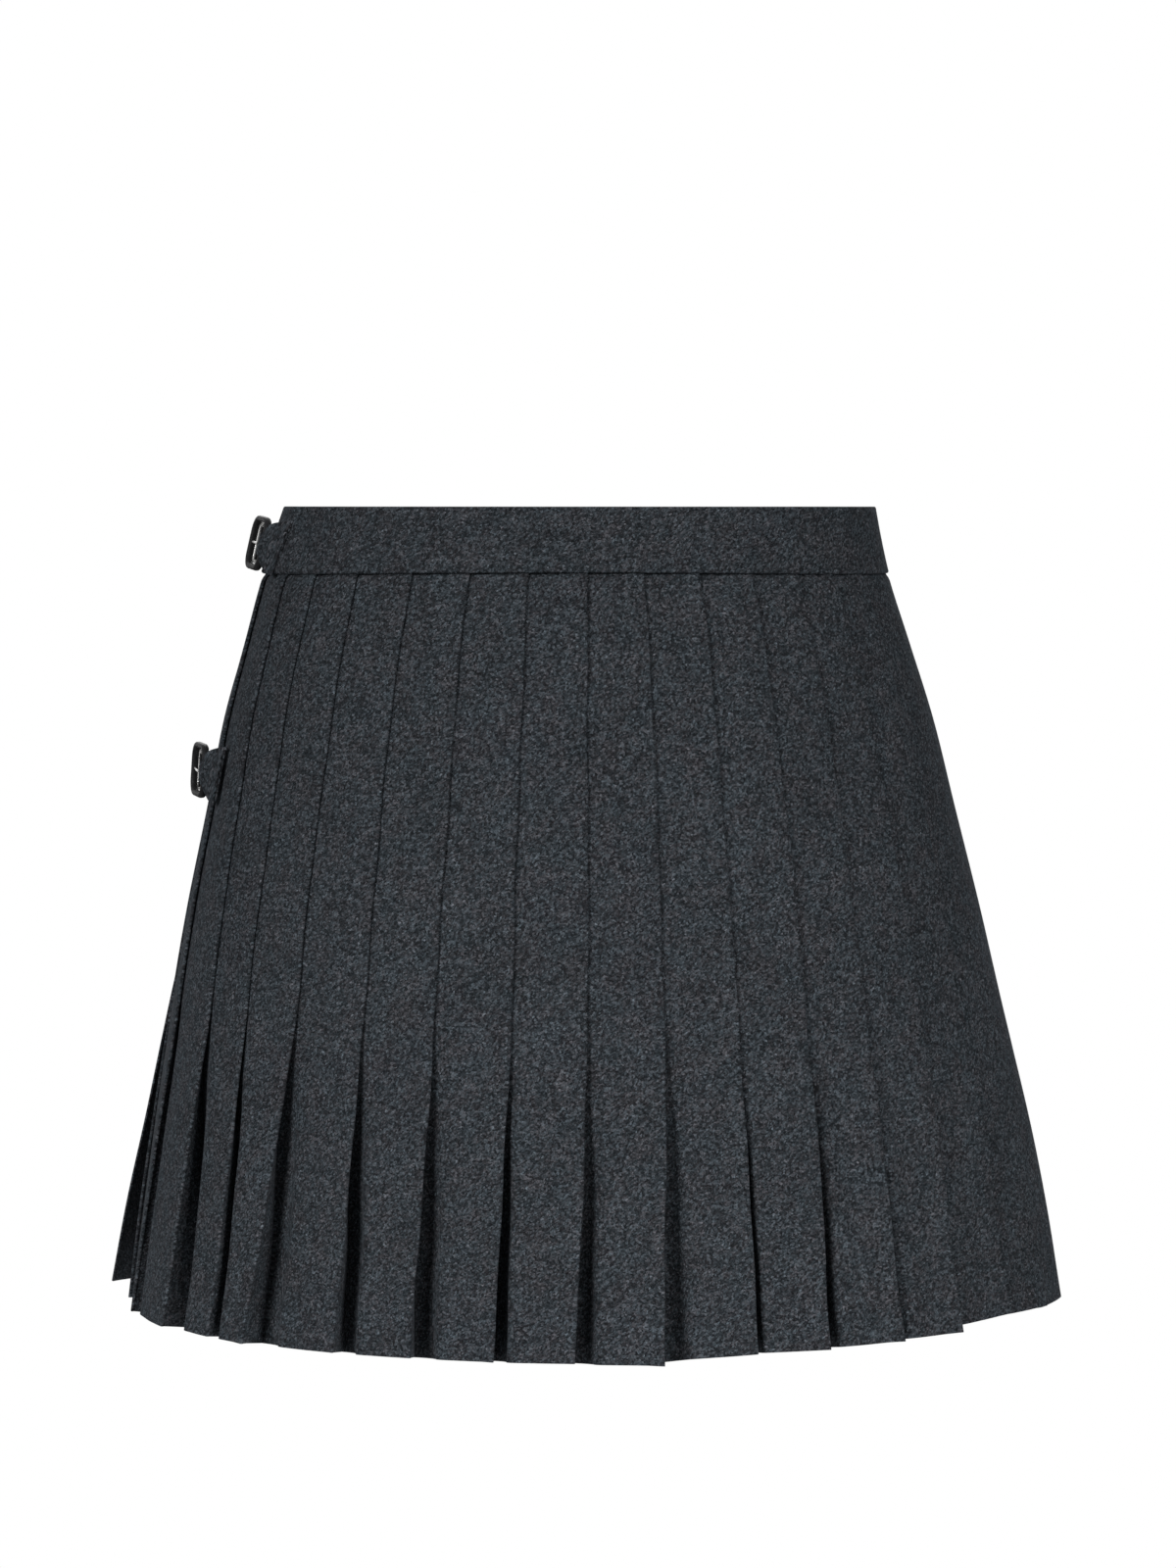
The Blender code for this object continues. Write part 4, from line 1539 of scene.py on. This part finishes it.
    def strap_stitching(self) -> None:
        """Sew along both edges of the strap and across its sewn end."""
        grid = self.strip_grid(STRAP_STOPS, self.seam_rows)
        lift = np.array(self.plane.to_3x3() @ Vector((0.0, 0.0, 1.0)))
        upper, lower = grid[self.seam_inset], grid[-1 - self.seam_inset]
        raised = []
        for row in (upper, lower):
            normal = np.cross(upper - lower, np.gradient(row, axis=0))
            normal /= np.linalg.norm(normal, axis=1)[:, None]
            normal *= np.sign(normal @ lift)[:, None]
            raised.append((row + normal * (self.strap_thick / 2 + self.seam_lift))[1:])
        across = np.linspace(raised[0][0], raised[1][0], self.seam_end)
        self.stitches.sew(f"strap_stitches_{self.closure.name}", raised + [across])

    def build(self) -> None:
        """Build every piece of the closure."""
        name = self.closure.name
        tab = self.strip(f"cloth_tab_{name}", f"tab_{name}", TAB_STOPS, self.tab_thick, WOOL)
        self.strip(f"leather_strap_{name}", f"strap_{name}", STRAP_STOPS, self.strap_thick,
                   LEATHER)
        self.ring(f"leather_ring_{name}", f"ring_{name}", (0.0, self.ring_raise),
                  (self.ring_length, self.ring_height), self.ring_corner,
                  (self.ring_bar, self.ring_thick), self.ring_squareness, LEATHER)
        self.ring(f"metal_lining_{name}", f"lining_{name}",
                  ((self.lining_front + self.lining_rear) / 2, -self.lining_sink),
                  (self.lining_front - self.lining_rear, self.lining_height), self.lining_corner,
                  (self.lining_bar, self.lining_thick), self.lining_squareness, STEEL)
        self.prong()
        self.strap_stitching()


# The studio


@dataclass
class Studio:
    """A pale floor, soft frontal light and the camera at the photograph's place, in metres."""

    distance: float = 2.0
    sideways: float = 0.0031
    level: float = 0.015
    down: float = 3.603
    lens: float = 101.1
    floor_level: float = -0.95
    floor_size: float = 14.0
    floor_shade: float = 0.6
    floor_roughness: float = 0.9
    sensor: float = 36.0
    ambient: float = 0.1
    gloss: float = 0.7
    spread: float = 60.0
    aim: float = -0.9

    lamps = (
        ("left", (-1.7, -2.15, 0.8), 9.5, 1.0),
        ("right", (1.7, -2.15, 0.8), 7.9, 1.0),
        ("rear", (0.0, 2.8, 1.0), 8.0, 2.0),
    )

    def build(self) -> None:
        """Build the floor, the light and the camera."""
        self.floor()
        self.light()
        self.camera()
        bpy.context.scene.view_settings.view_transform = "Standard"

    def floor(self) -> None:
        """Lay a plain floor well below the hem, which shows as even white."""
        half = self.floor_size / 2
        corners = [(x * half, y * half, self.floor_level)
                   for x, y in ((-1, -1), (1, -1), (1, 1), (-1, 1))]
        mesh = bpy.data.meshes.new("floor")
        mesh.from_pydata(corners, [], [(0, 1, 2, 3)])
        floor = put("floor", mesh)
        paint = bpy.data.materials.new("white_floor")
        paint.use_nodes = True
        tree = paint.node_tree
        shader = tree.nodes["Principled BSDF"]
        shader.inputs["Base Color"].default_value = (*[self.floor_shade] * 3, 1.0)
        shader.inputs["Roughness"].default_value = self.floor_roughness
        shader.inputs["Specular IOR Level"].default_value = 0.0
        glow = tree.nodes.new("ShaderNodeEmission")
        seen = tree.nodes.new("ShaderNodeLightPath")
        choice = tree.nodes.new("ShaderNodeMixShader")
        tree.links.new(seen.outputs["Is Camera Ray"], choice.inputs[0])
        tree.links.new(shader.outputs[0], choice.inputs[1])
        tree.links.new(glow.outputs[0], choice.inputs[2])
        tree.links.new(choice.outputs[0], tree.nodes["Material Output"].inputs["Surface"])
        mesh.materials.append(paint)
        floor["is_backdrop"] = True

    def light(self) -> None:
        """Set a surround that is white to the eye but weak as light, and three soft lamps."""
        world = bpy.data.worlds.new("pale_surround")
        world.use_nodes = True
        tree = world.node_tree
        surround = tree.nodes["Background"]
        surround.inputs["Color"].default_value = (1.0, 1.0, 1.0, 1.0)
        seen = tree.nodes.new("ShaderNodeLightPath")
        level: Socket | None = None
        for ray, end in (("Is Glossy Ray", self.gloss), ("Is Camera Ray", 1.0)):
            strength = tree.nodes.new("ShaderNodeMapRange")
            strength.inputs["To Min"].default_value = self.ambient
            strength.inputs["To Max"].default_value = end
            tree.links.new(seen.outputs[ray], strength.inputs["Value"])
            if level:
                tree.links.new(level, strength.inputs["To Min"])
            level = strength.outputs["Result"]
        tree.links.new(level, surround.inputs["Strength"])
        bpy.context.scene.world = world
        for name, place, power, size in self.lamps:
            lamp = bpy.data.lights.new(name, "AREA")
            lamp.energy = power
            lamp.size = size
            lamp.spread = math.radians(self.spread)
            source = put(name, lamp)
            source.location = place
            aim = Vector((0.0, 0.0, self.aim)) - Vector(place)
            source.rotation_euler = aim.to_track_quat("-Z", "Y").to_euler()

    def camera(self) -> None:
        """Place the camera level with the waistband, looking slightly down."""
        data = bpy.data.cameras.new("camera")
        data.lens = self.lens
        data.sensor_width = self.sensor
        data.sensor_fit = "AUTO"
        camera = put("camera", data)
        camera.location = (self.sideways, -self.distance, self.level)
        camera.rotation_euler = (math.radians(90.0 - self.down), 0.0, 0.0)
        bpy.context.scene.camera = camera


def write_sizes(before: tuple[Vector, Vector]) -> None:
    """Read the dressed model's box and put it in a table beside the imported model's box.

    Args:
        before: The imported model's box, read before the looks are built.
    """
    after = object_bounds()
    boxes = {name: [list(corner) for corner in box]
             for name, box in (("cad", before), ("visual", after))}


def main() -> None:
    """Build the garment and its studio."""
    logging.basicConfig(level=logging.INFO, format="%(message)s")
    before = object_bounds()
    form = Form()
    pleats = Pleats(form)
    PleatedBack(form, pleats).build()
    Aprons(form, pleats).build()
    Waistband(form, pleats).build()
    stitches = StitchTree()
    for closure in CLOSURES:
        StrapClosure(form, stitches, closure).build()
    Studio().build()
    write_sizes(before)


if __name__ == "__main__":
    main()
